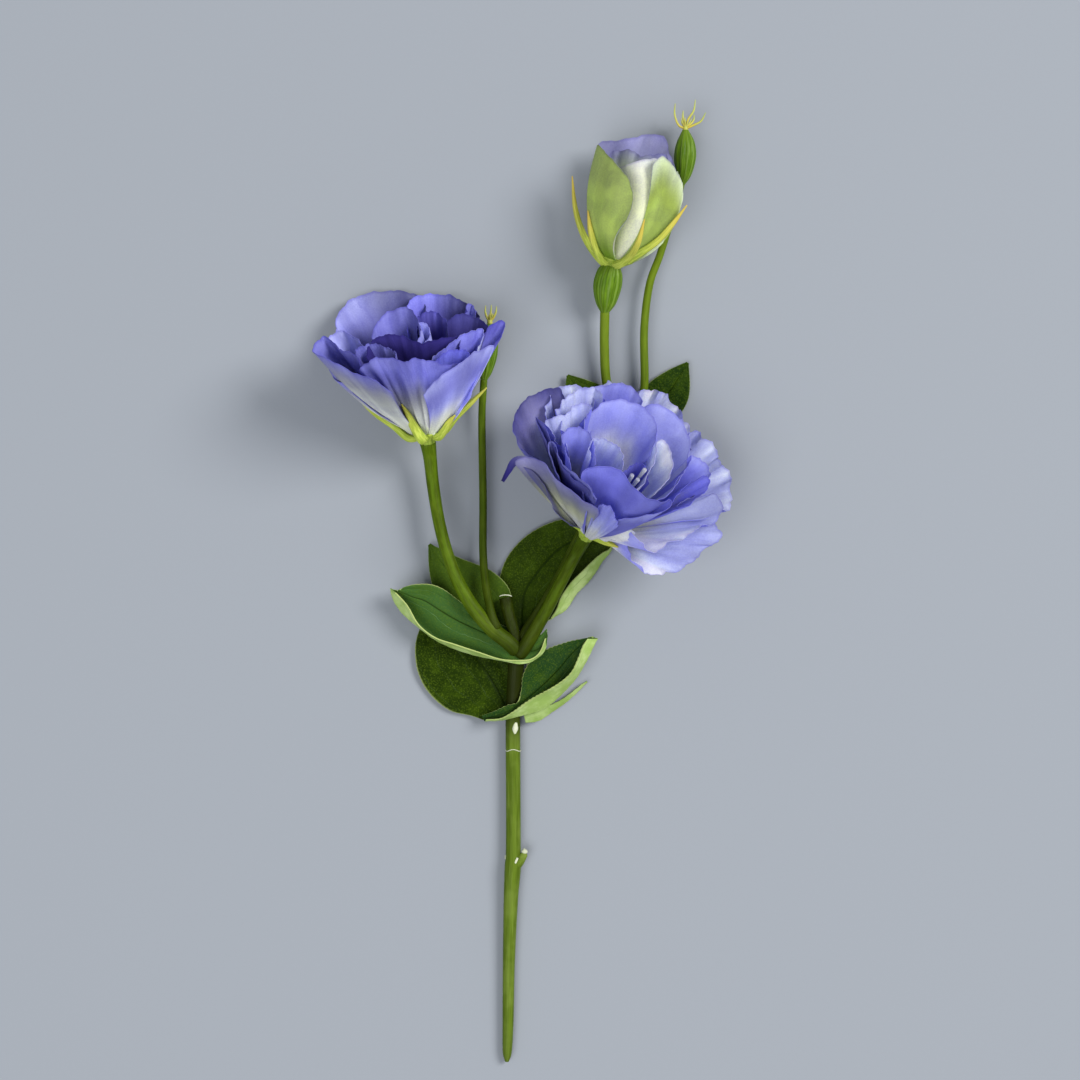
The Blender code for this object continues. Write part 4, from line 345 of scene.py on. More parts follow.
def smooth_table(values, t):
    """Values spaced evenly over 0..1, read at t along a smooth (Catmull-Rom) curve."""
    p = np.asarray(values, float)
    flat = p.ndim == 1
    if flat:
        p = p[:, None]
    a = np.vstack([2 * p[0] - p[1], p, 2 * p[-1] - p[-2]])
    x = np.clip(np.asarray(t, float), 0.0, 1.0) * (len(p) - 1)
    i = np.minimum(x.astype(int), len(p) - 2)
    f = (x - i)[..., None]
    p0, p1, p2, p3 = a[i], a[i + 1], a[i + 2], a[i + 3]
    out = 0.5 * (2 * p1 + (p2 - p0) * f + (2 * p0 - 5 * p1 + 4 * p2 - p3) * f ** 2
                 + (3 * p1 - p0 - 3 * p2 + p3) * f ** 3)
    return out[..., 0] if flat else out


def lengths(path):
    """How far along a path each of its points lies."""
    step = np.linalg.norm(np.diff(path[:, :3], axis=0), axis=1)
    return np.concatenate([[0.0], np.cumsum(step)])


def smooth_path(points, count):
    """Points (x, y, z, and more) joined by a smooth curve, at even steps of length."""
    dense = smooth_table(points, np.linspace(0, 1, PATH_STEPS * (len(points) - 1) + 1))
    run = lengths(dense)
    s = np.linspace(0, run[-1], count)
    return np.column_stack([np.interp(s, run, column) for column in dense.T])


def ease(x):
    x = np.clip(x, 0.0, 1.0)
    return x * x * (3 - 2 * x)


def murmur(x, seed):
    """A smooth random line, about -1 to 1."""
    waves = ((1.0, 1.0, 3.1, 0.0), (0.7, 1.73, 7.7, 1.0), (0.5, 3.11, 1.9, 2.0))
    return sum(size * np.sin(x * pace + shift * seed + start) for size, pace, shift, start in waves) / 1.7


def even(across, along):
    """u from -1 to 1 across and v from 0 to 1 along, as rows from the foot of a piece to its far edge."""
    return np.meshgrid(np.linspace(-1, 1, across + 1), np.linspace(0, 1, along + 1))


# ------------ a petal
MOST_ROOT = 0.45                # how much of its edge the root of a narrow petal is


def flower_axis(flower):
    """The way a flower looks. Heading turns it from +Y to +X, and raised is its angle from the floor."""
    h, e = math.radians(flower["heading"]), math.radians(flower["raised"])
    return np.array([math.cos(e) * math.sin(h), math.cos(e) * math.cos(h), math.sin(e)])


def petal_grid(flower, belly, rim, across, along):
    """Points of one petal as rows from its root to its edge, each from one side to the other.
    The root is a small copy of the edge, drawn in round the flower's axis."""
    axis, base = flower_axis(flower), np.asarray(flower["base"], float)
    edge = smooth_path(rim, across + 1)
    spoke = (edge - base) - np.outer((edge - base) @ axis, axis)
    reach = float(np.linalg.norm(spoke, axis=1).max())
    out = unit(spoke.mean(axis=0))
    root = base + axis * flower["root_h"] + spoke * min(MOST_ROOT, flower["root_r"] / reach)
    u, v = even(across, along)
    grid = root + (edge - root) * v[..., None]
    grid = grid + out * (belly * np.sin(math.pi * v ** 0.85) * (1 - 0.35 * u ** 2))[..., None]
    return grid, u, v


# ------------ a leaf
FINE_WAVES, TEETH = 34, 31      # along one blade
OUT_OF_STEP = 1.7               # radians, between the slow waves of a blade's two halves
MIN_HALF = 0.28                 # mm, half a blade's width where it runs out to a point
FOLD_AT = 0.62                  # how far out the third line of a lofted leaf lies
HALF_STEPS = 8                  # steps in the sum of a half blade's slope between two points
VEIN_LOOPS = 9.2                # radians from midrib to edge: how close the looping veins lie


def lift(u, v, wave, fine):
    """A blade's slow waves, which grow towards its edges, and the fine ones between its veins."""
    size, count, phase = wave
    far, side = np.abs(u), np.sign(u)
    swing = np.sin(2 * math.pi * count * v + phase + OUT_OF_STEP * side)
    slow = size * swing * far ** 2 * np.sin(math.pi * v)
    quick = fine * np.sin(FINE_WAVES * math.pi * v - 5.0 * far + side) * far * (1 - far)
    return slow + 2.0 * quick


def bite(u, v, teeth):
    """How far small teeth stand out along the edges. They die out at stalk and tip."""
    notch = np.abs(np.sin(TEETH * math.pi * v + np.sign(u)))
    return teeth * notch * np.abs(u) ** 12 * ease(v * 6) * ease((1 - v) * 8)


def running_sum(slope, step):
    """Sum of a slope along each row, from 0."""
    middles = (slope[:, 1:] + slope[:, :-1]) / 2
    return np.hstack([np.zeros((len(slope), 1)), np.cumsum(middles * step, axis=1)])


def loft_grid(leaf, across, along, fine, teeth):
    """A leaf laid over its lines from stalk to tip, side by side."""
    rows = np.array([smooth_path(line, along + 1) for line in leaf["lines"]])
    s = np.linspace(0, 1, across + 1)
    grid = np.array([smooth_table(rows[:, k], s) for k in range(along + 1)])
    u, v = np.meshgrid(smooth_table((-1.0, 0.0, FOLD_AT, 1.0), s), np.linspace(0, 1, along + 1))
    n, way, _ = frame_of(grid)
    rise, out = lift(u, v, leaf["wave"], fine), np.sign(u) * bite(u, v, teeth)
    return grid + n * rise[..., None] + way * out[..., None], u, v


def half_blade(leaf, sign, mid, side, norm, t, half, fine, teeth):
    """One half of a leaf, from its midrib to its edge. Its slope turns from one angle to another."""
    wide, slope = (leaf["left"], leaf["slope_left"]) if sign < 0 else (leaf["right"], leaf["slope_right"])
    out = np.linspace(0, 1, half * HALF_STEPS + 1)[None, :]
    inner, outer = (smooth_table(s, t)[:, None] for s in slope)
    angle = np.radians(inner + (outer - inner) * out ** 1.4)
    step = 1.0 / (half * HALF_STEPS)
    across, rise = (running_sum(part(angle), step)[:, ::HALF_STEPS] for part in (np.cos, np.sin))
    angle = angle[:, ::HALF_STEPS]
    far, v = np.meshgrid(out[0, ::HALF_STEPS], t)
    wide = np.maximum(smooth_table(wide, t), MIN_HALF)[:, None] + bite(sign * far, v, teeth)
    wave = lift(sign * far, v, leaf["wave"], fine)[..., None]
    norm, side = norm[:, None, :], sign * side[:, None, :]
    tilted = norm * np.cos(angle)[..., None] - side * np.sin(angle)[..., None]
    flat = mid[:, None, :] + (wide * across)[..., None] * side
    return flat + (wide * rise)[..., None] * norm + wave * tilted


def leaf_grid(leaf, across, along, fine, teeth):
    """Points of one leaf, as rows from stalk to tip, each from its left edge to its right."""
    if "lines" in leaf:
        return loft_grid(leaf, across, along, fine, teeth)
    t = np.linspace(0, 1, along + 1)
    mid = smooth_table(smooth_path(leaf["path"], 60), t)
    fwd = units(np.gradient(mid, axis=0))
    side = units(np.cross(fwd, [0.0, 0.0, 1.0]))
    norm = np.cross(side, fwd)
    left, right = (half_blade(leaf, sign, mid, side, norm, t, across // 2, fine, teeth) for sign in (-1, 1))
    return np.concatenate([left[:, ::-1], right[:, 1:]], axis=1), *even(across, along)


# ------------ mesh building
MM = 0.001
POD_RIBS = (10, 0.13)           # how many, and how deep as a share of the radius
SHARP = math.radians(62)                                  # edges turned more than this stay sharp
ROUNDED = ((0.28, 0.86), (0.46, 0.55), (0.52, 0.18))      # a tube's end: how far out and how wide, in radii


class Build:
    """Collects sheets and tubes in mm, then makes them one object. Each point has a UV, four numbers for its
    look (side: 1 top, 0 under; light, a paler colour which on leaves is a painted sheen; deep, painted shade;
    and a free one) and a colour of its own, which on petals carries painted light and shade."""

    def __init__(self):
        self.parts, self.count = [], 0

    def add(self, co, uv, tone, paint, faces):
        self.parts.append((co, uv, tone, paint, faces + self.count))
        self.count += len(co)
        return self

    def sheet(self, grid, u, v, thick, facing, light=0.0, deep=0.0, free=0.0, coats=None):
        """A thin closed sheet: grid is (rows, columns, 3). Its top looks to the point facing. The coats are
        the colours of its top and underside."""
        rows, cols = grid.shape[:2]
        n, mid = frame_of(grid)[0], (rows // 2, cols // 2)
        flip = np.dot(n[mid], facing - grid[mid]) < 0
        half = (-n if flip else n) * np.broadcast_to(thick, (rows, cols))[..., None] / 2
        total = rows * cols
        idx = np.arange(total).reshape(rows, cols)
        up = np.stack([idx[:-1, :-1], idx[:-1, 1:], idx[1:, 1:], idx[1:, :-1]], -1).reshape(-1, 4)
        ring = np.concatenate([idx[0, :-1], idx[:-1, -1], idx[-1, :0:-1], idx[:0:-1, 0]])
        nxt = np.roll(ring, -1)
        faces = np.concatenate([up, up[:, ::-1] + total, np.stack([nxt, ring, ring + total, nxt + total], 1)])
        tone = np.tile([1.0, light, deep, free], (2 * total, 1))
        tone[total:, 0] = 0.0
        uv = np.tile(np.stack([(u * 0.5 + 0.5).ravel(), v.ravel()], 1), (2, 1))
        paint = np.ones((2 * total, 3)) if coats is None else np.concatenate(coats).reshape(-1, 3)
        co = np.concatenate([grid + half, grid - half]).reshape(-1, 3)
        return self.add(co, uv, tone, paint, faces[:, ::-1] if flip else faces)

    def tube(self, points, around, count, ribs=(0, 0.0), spin=0.0, rounded=True,
             light=0.0, deep=0.0, free=0.0, tint=(1.0, 1.0, 1.0)):
        """A stem along (x, y, z, radius). UV runs round it and along it. Light, deep and free are one number
        or several along it; ribs are how many and how deep, as a share of the radius."""
        path = smooth_path(points, count)
        if rounded:
            def tip(end, inner):
                way = unit(end[:3] - inner[:3])
                return [np.r_[end[:3] + way * end[3] * far, end[3] * wide] for far, wide in ROUNDED]
            path = np.vstack([tip(path[0], path[1])[::-1], path, tip(path[-1], path[-2])])
        fwd = units(np.gradient(path[:, :3], axis=0))
        run = lengths(path)
        run /= run[-1]
        x = unit(np.cross(fwd[0], (0, 0, 1.0) if abs(fwd[0][2]) < 0.9 else (1.0, 0, 0)))
        ang = np.arange(around) * 2 * math.pi / around
        rib = 1 + ribs[1] * (np.abs(np.cos((ang + spin) * ribs[0] / 2)) ** 0.7 - 0.5)
        co = []
        for row, way in zip(path, fwd):
            x = unit(x - way * float(np.dot(x, way)))
            rad = row[3] * rib
            co.append(row[:3] + np.outer(rad * np.cos(ang + spin), x)
                      + np.outer(rad * np.sin(ang + spin), np.cross(x, way)))
        steps = len(path)
        idx = np.arange(steps * around).reshape(steps, around)
        nx = np.roll(idx, -1, axis=1)
        quads = np.stack([idx[:-1], idx[1:], nx[1:], nx[:-1]], -1).reshape(-1, 4)
        caps = [[row[k - 1], row[k], row[around - 1 - k], row[(around - k) % around]][::turn]
                for row, turn in ((idx[0], 1), (idx[-1], -1)) for k in range(1, around // 2)]
        uv = np.stack([np.tile(ang / (2 * math.pi), steps), np.repeat(run, around)], 1)
        tone = [np.repeat(np.interp(run, np.linspace(0, 1, np.size(x)), np.atleast_1d(x)), around)
                for x in (1.0, light, deep, free)]
        return self.add(np.concatenate(co), uv, np.stack(tone, 1), np.tile(tint, (steps * around, 1)),
                        np.concatenate([quads, caps]))

    def make(self, name, node, look, slot):
        """One object of all that was collected, which stands for a node of the frame."""
        co, uv, tone, paint, faces = (np.concatenate(part) for part in zip(*self.parts))
        me = bpy.data.meshes.new(name)
        me.vertices.add(len(co))
        me.vertices.foreach_set("co", ((co + np.array(SHIFT)) * MM).ravel())
        me.loops.add(faces.size)
        me.loops.foreach_set("vertex_index", faces.ravel().astype(np.int32))
        me.polygons.add(len(faces))
        me.polygons.foreach_set("loop_start", np.arange(0, faces.size, 4, dtype=np.int32))
        me.update(calc_edges=True)
        me.validate()
        me.uv_layers.new(name="UVMap").data.foreach_set("uv", uv[faces.ravel()].ravel())
        layers = [("tone", tone)]
        if paint.min() < 1:
            layers.append(("paint", np.column_stack([paint, np.ones(len(paint))])))
        for layer, values in layers:
            me.color_attributes.new(layer, "FLOAT_COLOR", "POINT").data.foreach_set("color", values.ravel())
        me.shade_smooth()
        me.set_sharp_from_angle(angle=SHARP)
        me.materials.append(look)
        ob = bpy.data.objects.new(name, me)
        bpy.context.scene.collection.objects.link(ob)
        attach(ob, "root")
        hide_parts(node)


# ------------ materials
class Look:
    """A procedural material. u runs across a piece or round it, and v from its foot to its far end."""

    def __init__(self, name, rough):
        self.m = bpy.data.materials.new(name)
        self.m.use_nodes = True
        self.p = self.m.node_tree.nodes["Principled BSDF"]
        self.p.inputs["Roughness"].default_value = rough
        mm = self.node("ShaderNodeVectorMath", operation="SCALE")
        self.put(mm.inputs[0], self.node("ShaderNodeTexCoord").outputs["Object"])
        self.put(mm.inputs["Scale"], 1 / MM)
        self.where = mm.outputs[0]
        xyz = self.node("ShaderNodeSeparateXYZ")
        self.put(xyz.inputs[0], self.node("ShaderNodeUVMap", uv_map="UVMap").outputs[0])
        self.u, self.v = xyz.outputs[0], xyz.outputs[1]
        tone = self.node("ShaderNodeAttribute", attribute_name="tone")
        rgb = self.node("ShaderNodeSeparateColor")
        self.put(rgb.inputs[0], tone.outputs["Color"])
        # light makes a piece paler, and on leaves stands for a painted sheen; deep darkens it with painted
        # shade
        self.side, self.light, self.deep = rgb.outputs[0], rgb.outputs[1], rgb.outputs[2]
        self.free = tone.outputs["Alpha"]

    def node(self, kind, **props):
        n = self.m.node_tree.nodes.new(kind)
        for k, x in props.items():
            setattr(n, k, x)
        return n

    def put(self, socket, x):
        if isinstance(x, bpy.types.NodeSocket):
            self.m.node_tree.links.new(x, socket)
        else:
            socket.default_value = (*x, 1.0) if socket.type == "RGBA" else x

    def math(self, op, *terms):
        n = self.node("ShaderNodeMath", operation=op)
        for socket, x in zip(n.inputs, terms):
            self.put(socket, x)
        return n.outputs[0]

    def times(self, a, b):
        return self.math("MULTIPLY", a, b)

    def total(self, *terms):
        """The sum of some values, each with its share."""
        out = None
        for x, share in terms:
            x = self.times(x, share)
            out = x if out is None else self.math("ADD", out, x)
        return out

    def off_middle(self):
        """0 along the middle of a piece and 1 at both its side edges."""
        return self.math("ABSOLUTE", self.math("MULTIPLY_ADD", self.u, 2.0, -1.0))

    def span(self, x, lo, hi, to_lo=0.0, to_hi=1.0):
        """x from lo to hi, turned smoothly into to_lo to to_hi."""
        n = self.node("ShaderNodeMapRange", interpolation_type="SMOOTHSTEP", clamp=True)
        for socket, value in zip(n.inputs, (x, lo, hi, to_lo, to_hi)):
            self.put(socket, value)
        return n.outputs["Result"]

    def mix(self, share, a, b, how="MIX"):
        n = self.node("ShaderNodeMix", data_type="RGBA", blend_type=how, clamp_factor=True)
        for socket, x in ((0, share), (6, a), (7, b)):
            self.put(n.inputs[socket], x)
        return n.outputs[2]

    def over(self, col, *coats):
        """A colour with coats laid over it, each (share, colour)."""
        for share, coat in coats:
            col = self.mix(share, col, coat)
        return col

    def noise(self, where, scale, detail=2.0, rough=0.5):
        n = self.node("ShaderNodeTexNoise")
        self.put(n.inputs["Vector"], where)
        for socket, x in (("Scale", scale), ("Detail", detail), ("Roughness", rough)):
            n.inputs[socket].default_value = x
        return n.outputs["Fac"]

    def streaks(self, across, along, detail, rough, u=None, free=0.0):
        """Noise drawn out along a piece, with so many steps across it and along it."""
        n = self.node("ShaderNodeCombineXYZ")
        terms = self.times(self.u if u is None else u, across), self.times(self.v, along), free
        for socket, x in zip(n.inputs, terms):
            self.put(socket, x)
        return self.noise(n.outputs[0], 1.0, detail, rough)

    def skin(self, colour, shine, height, bump, size):
        """Sets the colour, how much it shines, and its relief (how strong, and how high in metres)."""
        self.put(self.p.inputs["Base Color"], colour)
        self.p.inputs["Specular IOR Level"].default_value = shine
        n = self.node("ShaderNodeBump")
        for socket, x in (("Strength", bump), ("Distance", size), ("Height", height)):
            self.put(n.inputs[socket], x)
        self.put(self.p.inputs["Normal"], n.outputs[0])
        return n.outputs[0]

    def glow(self, share, colour, normal):
        """Lets a share of the light through, as a thin petal or leaf does."""
        through, both = self.node("ShaderNodeBsdfTranslucent"), self.node("ShaderNodeMixShader")
        out = self.m.node_tree.nodes["Material Output"]
        for socket, x in ((through.inputs["Color"], colour), (through.inputs["Normal"], normal),
                          (both.inputs[0], share), (both.inputs[1], self.p.outputs[0]),
                          (both.inputs[2], through.outputs[0]), (out.inputs["Surface"], both.outputs[0])):
            self.put(socket, x)


def petal_look(name, vein, share, through):
    """Each petal's colours, its painted light and shade among them, are painted on its points; veins, grain
    and drifts come on top.
    """
    k = Look(name, 0.62)
    col = k.node("ShaderNodeAttribute", attribute_name="paint").outputs["Color"]
    dark, pale = (k.mix(1.0, col, tint, "MULTIPLY") for tint in ((0.50, 0.46, 0.74), (1.45, 1.45, 1.20)))
    swaying = k.math("ADD", k.u, k.times(k.noise(k.where, 0.09), 0.16))
    broad = k.streaks(13.0, 1.2, 2.0, 0.6, swaying, k.free)
    fine = k.streaks(58.0, 2.4, 2.0, 0.55, swaying, k.free)
    grain, drift = k.noise(k.where, 1.7, 3.0, 0.62), k.noise(k.where, 0.10)
    edge = k.math("MAXIMUM", k.v, k.off_middle())
    col = k.over(
        col, (k.times(k.span(broad, 0.52, 0.74), vein), dark),
        (k.times(k.span(broad, 0.46, 0.26), vein * 0.8), pale),
        (k.times(k.span(fine, 0.55, 0.78), vein * 0.7), dark), (k.span(grain, 0.34, 0.66, 0.0, 0.32), dark),
        (k.span(drift, 0.42, 0.64, 0.0, 0.34), pale), (k.span(edge, 0.972, 1.0, 0.0, 0.62), dark))
    for socket, x in (("Sheen Weight", 0.08), ("Sheen Roughness", 0.4), ("Sheen Tint", (0.84, 0.86, 1.0))):
        k.put(k.p.inputs[socket], x)
    n = k.skin(col, 0.12, k.total((broad, 1.1), (fine, 0.7), (grain, 0.5)), 0.45, 0.0004)
    k.glow(share, k.mix(0.4, col, through), n)
    return k.m


def leaf_look():
    k = Look("leaf_blade", 0.46)
    mid = k.off_middle()
    blotch, speck = k.noise(k.where, 0.16, 3.0, 0.6), k.noise(k.where, 2.0, 2.0, 0.7)
    # long looping veins from stalk to tip, plain on the palest leaf only
    sway = k.times(k.noise(k.where, 0.12), 0.22)
    loops = k.math("ABSOLUTE", k.math("SINE", k.times(k.math("ADD", mid, sway), VEIN_LOOPS)))
    veins = k.times(k.span(loops, 0.0, 0.11, 1.0, 0.0), k.span(blotch, 0.40, 0.60, 0.25, 0.85))
    # a dark line down the midrib, painted shade in its groove; and the pale edge
    rib, edge = k.span(mid, 0.012, 0.045, 1.0, 0.0), k.span(mid, 0.972, 0.995)
    # painted shade where the two halves meet low in the leaf, down in its fold
    low = k.times(k.span(mid, 0.0, 0.45, 1.0, 0.0), k.span(k.v, 0.05, 0.5, 1.0, 0.0))
    # light is a painted sheen over a leaf's top, deep is painted shade
    top = k.over(
        k.mix(k.free, (0.011, 0.025, 0.0004), (0.022, 0.092, 0.028)),
        (k.light, (0.085, 0.150, 0.010)), (k.deep, (0.006, 0.016, 0.0005)),
        (k.span(blotch, 0.45, 0.66, 0.0, 0.25), (0.060, 0.11, 0.003)),
        (k.span(speck, 0.50, 0.66, 0.0, 0.35), (0.12, 0.19, 0.012)),
        (k.times(veins, k.span(k.free, 0.0, 1.0, 0.10, 0.75)), (0.15, 0.27, 0.11)),
        (k.times(rib, 0.75), (0.008, 0.020, 0.001)), (k.times(low, 0.6), (0.006, 0.014, 0.0006)))
    under = k.over(
        k.mix(k.span(blotch, 0.35, 0.7), (0.30, 0.44, 0.11), (0.48, 0.62, 0.24)),
        (k.times(veins, 0.5), (0.20, 0.34, 0.07)), (k.deep, (0.05, 0.11, 0.012)))
    rim = k.times(edge, k.span(k.free, 0.0, 1.0, 0.4, 0.95))
    col = k.over(under, (k.side, top), (rim, (0.42, 0.50, 0.17)))
    n = k.skin(col, 0.03, k.total((veins, -0.9), (blotch, 1.6), (speck, 0.4)), 0.5, 0.0004)
    k.glow(0.08, k.mix(0.5, col, (0.20, 0.42, 0.03)), n)
    return k.m


def stem_look(name, dark, mid, pale):
    k = Look(name, 0.42)
    streak, fibre = k.streaks(11.0, 7.0, 3.0, 0.6), k.streaks(46.0, 10.0, 2.0, 0.55)
    patch = k.noise(k.where, 0.12)
    # deep is painted shade, near black where a stem lies in shadow; free gives its pale scars
    col = k.over(
        mid, (k.span(streak, 0.38, 0.64), dark), (k.span(patch, 0.44, 0.66, 0.0, 0.275), pale),
        (k.span(fibre, 0.54, 0.74, 0.0, 0.42), pale), (k.times(k.deep, 0.95), (0.010, 0.013, 0.001)),
        (k.light, pale), (k.free, (0.66, 0.68, 0.52)))
    k.skin(col, 0.06, k.total((fibre, 1.0), (streak, 0.8)), 0.45, 0.0003)
    return k.m


def pod_look():
    k = Look("pod_skin", 0.40)
    rib = k.math("ABSOLUTE", k.math("COSINE", k.times(k.u, math.pi * POD_RIBS[0])))
    streak = k.streaks(38.0, 4.0, 2.0, 0.5)
    # the dark grooves between the ribs are painted shade and their pale ridges painted highlights; deep is
    # painted shade
    col = k.over(
        (0.070, 0.145, 0.004), (k.span(streak, 0.35, 0.7), (0.115, 0.21, 0.010)),
        (k.span(rib, 0.0, 0.30, 0.6, 0.0), (0.030, 0.065, 0.001)),
        (k.span(rib, 0.90, 1.0, 0.0, 0.5), (0.20, 0.30, 0.06)),
        (k.light, (0.26, 0.36, 0.04)), (k.deep, (0.04, 0.085, 0.010)))
    k.skin(col, 0.12, k.total((streak, 1.0), (k.noise(k.where, 1.2), 1.0)), 0.35, 0.0003)
    return k.m


def calyx_look():
    k = Look("calyx_skin", 0.48)
    streak = k.streaks(16.0, 6.0, 2.0, 0.5)
    # light and free turn the sepal tips yellow and brown; deep is painted shade on the cup
    col = k.over(
        (0.34, 0.46, 0.050), (k.span(streak, 0.36, 0.66), (0.56, 0.66, 0.11)), (k.light, (0.62, 0.56, 0.10)),
        (k.free, (0.62, 0.34, 0.055)), (k.deep, (0.13, 0.24, 0.03)))
    n = k.skin(col, 0.12, k.total((streak, 1.0), (k.noise(k.where, 1.4), 1.0)), 0.35, 0.0003)
    k.glow(0.10, k.mix(0.5, col, (0.55, 0.65, 0.08)), n)
    return k.m


def hair_look():
    k = Look("hair_skin", 0.5)
    ramp = k.node("ShaderNodeValToRGB")
    k.put(ramp.inputs[0], k.v)
    stops = ((0.0, (0.42, 0.28, 0.03)), (0.28, (0.48, 0.42, 0.05)),
             (0.7, (0.42, 0.48, 0.08)), (1.0, (0.34, 0.42, 0.06)))
    ramp.color_ramp.interpolation = "EASE"
    while len(ramp.color_ramp.elements) < len(stops):
        ramp.color_ramp.elements.new(0.5)
    for stop, (place, colour) in zip(ramp.color_ramp.elements, stops):
        stop.position, stop.color = place, (*colour, 1.0)
    spot = k.noise(k.where, 2.2)
    # deep is painted shade on the knob at the hairs' foot
    col = k.over(ramp.outputs[0], (k.light, (0.46, 0.48, 0.12)), (k.deep, (0.26, 0.34, 0.05)),
                 (k.span(spot, 0.45, 0.65, 0.0, 0.35), (0.60, 0.36, 0.05)))
    k.skin(col, 0.5, spot, 0.3, 0.0002)
    return k.m


def plain(name, colour, rough):
    k = Look(name, rough)
    darker = tuple(c * 0.9 for c in colour)
    k.put(k.p.inputs["Base Color"], k.mix(k.span(k.noise(k.where, 0.9), 0.3, 0.7, 0.0, 0.05), colour, darker))
    k.p.inputs["Specular IOR Level"].default_value = 0.15
    return k.m


# each bloom's petals: name, how plain its veins are, the share of light let through and its colour; and slot
PETAL_LOOKS = {
    "bloom_left": (petal_look("left_bloom_petals", 0.48, 0.12, (0.30, 0.30, 0.86)), "petal"),
    "bloom_right": (petal_look("right_bloom_petals", 0.36, 0.42, (0.60, 0.63, 0.98)), "petal"),
    "bloom_bud": (petal_look("bud_petals", 0.30, 0.45, (0.80, 0.90, 0.50)), "bud_petal"),
}
LEAF, POD, CALYX, HAIR = leaf_look(), pod_look(), calyx_look(), hair_look()
STEM = stem_look("stem_skin", (0.070, 0.115, 0.006), (0.105, 0.165, 0.012), (0.200, 0.270, 0.050))
STEM_SIDE = stem_look("side_stem_skin", (0.052, 0.085, 0.002), (0.080, 0.140, 0.004), (0.150, 0.215, 0.014))

# ------------ stems
def stem_piece(node, look, count, **tones):
    Build().tube(STEMS[node], 32, count, **tones).make(node + "_skin", node, look, "stem")


main = Build()
# deep along the stem and its stub is painted shade, darkest at the stem's top among the leaves and branches
main.tube(STEMS["main_stem"], 40, 220,
          deep=(0.3, 0.1, 0.05, 0.1, 0.05, 0.05, 0.1, 0.05, 0.05, 0.1, 1.0, 1.0, 0.95))
main.tube(STUB, 24, 12, deep=0.1, light=(0.0, 0.1, 0.7))
# pale marks: the broken shoot's face, two scars by it, the ring of the old joint and the scar above that
RING_AT, RING_RADIUS = (-9.7, -76.2, 2.7), 2.74
ring = [(RING_AT[0] + RING_RADIUS * math.sin(a), RING_AT[1] + 0.35 * math.cos(3 * a),
         RING_AT[2] + RING_RADIUS * math.cos(a), 0.16) for a in np.linspace(-1.5, 1.5, 11)]
for marks, around, count, free in (
        ([(-5.9, -113.2, 3.9, 1.0), (-5.3, -112.6, 4.0, 1.05)], 20, 4, 0.75),
        ([(-9.0, -116.9, 5.3, 0.5), (-8.2, -115.2, 5.5, 0.45)], 16, 5, 0.9),
        ([(-12.4, -115.6, 3.0, 0.42), (-12.4, -114.5, 3.0, 0.4)], 12, 4, 0.7),
        (ring, 10, 30, 0.85),
        ([(-9.2, -70.0, 4.9, 0.55), (-9.0, -68.2, 5.05, 1.1), (-8.8, -66.3, 5.0, 0.6)], 18, 12, 0.9)):
    main.tube(marks, around, count, free=free)
main.make("main_stem_skin", "main_stem", STEM, "stem")

# deep is painted shade, where these stems lie in the shadow of leaves, branches and the right bloom
stem_piece("upper_stem", STEM, 60, deep=(0.9, 0.6, 0.4, 0.3))
stem_piece("branch_left", STEM_SIDE, 90, deep=(0.85, 0.35, 0.05, 0.0, 0.0, 0.0, 0.15))
stem_piece("branch_right", STEM_SIDE, 60, deep=(0.9, 0.7, 0.5, 0.40, 0.5, 0.5))
stem_piece("pod_stem_left", STEM_SIDE, 80, deep=(0.8, 0.6, 0.55, 0.45, 0.35, 0.2, 0.0))
stem_piece("bud_stem", STEM_SIDE, 50, light=(0.2, 0.4, 0.6, 0.7))
stem_piece("pod_stem_right", STEM_SIDE, 80, light=(0.3, 0.3, 0.4, 0.5, 0.5))

# the empty socket: a short hollow stub with a pale lip, by (along, radius) from its rim into its bore; deep
# paints its wall near black with painted shade
SOCKET_LIP = ((0.25, 2.25), (0.35, 1.95), (0.2, 1.65), (-1.0, 1.5), (-3.6, 1.45))
end = np.array(STEMS["empty_socket"][-1][:3])
way = unit(end - STEMS["empty_socket"][-2][:3])
wall = list(smooth_path(STEMS["empty_socket"], 24)) + [(*(end + way * far), r) for far, r in SOCKET_LIP]
arc = [(*(end + (2.2 * math.cos(a), 0.5 + 0.7 * math.sin(a), 1.9 * math.sin(a))), 0.2)
       for a in np.linspace(0.3, 2.9, 9)]
hollow = Build().tube(wall, 32, 70, rounded=False, deep=(1.0, 0.95, 0.9, 0.9, 0.9, 0.8, 0.95, 1.0, 1.0))
hollow.tube(arc, 10, 24, free=0.9).make("empty_socket_skin", "empty_socket", STEM_SIDE, "stem")

# ------------ pods and hairs
for node, spin in (("bud_ovary", 0.2), ("pod_left", 0.0), ("pod_right", 0.1)):
    # deep: a little painted shade at a pod's ends
    pod = Build().tube(PODS[node], 100, 46, ribs=POD_RIBS, spin=spin,
                       light=(0.15, 0.0, 0.0, 0.0, 0.25), deep=(0.1, 0.0, 0.0, 0.0, 0.0, 0.1))
    pod.make(node + "_skin", node, POD, "pod")

HAIR_RADII = (0.46, 0.42, 0.34, 0.14)
SHORT_HAIRS = 7

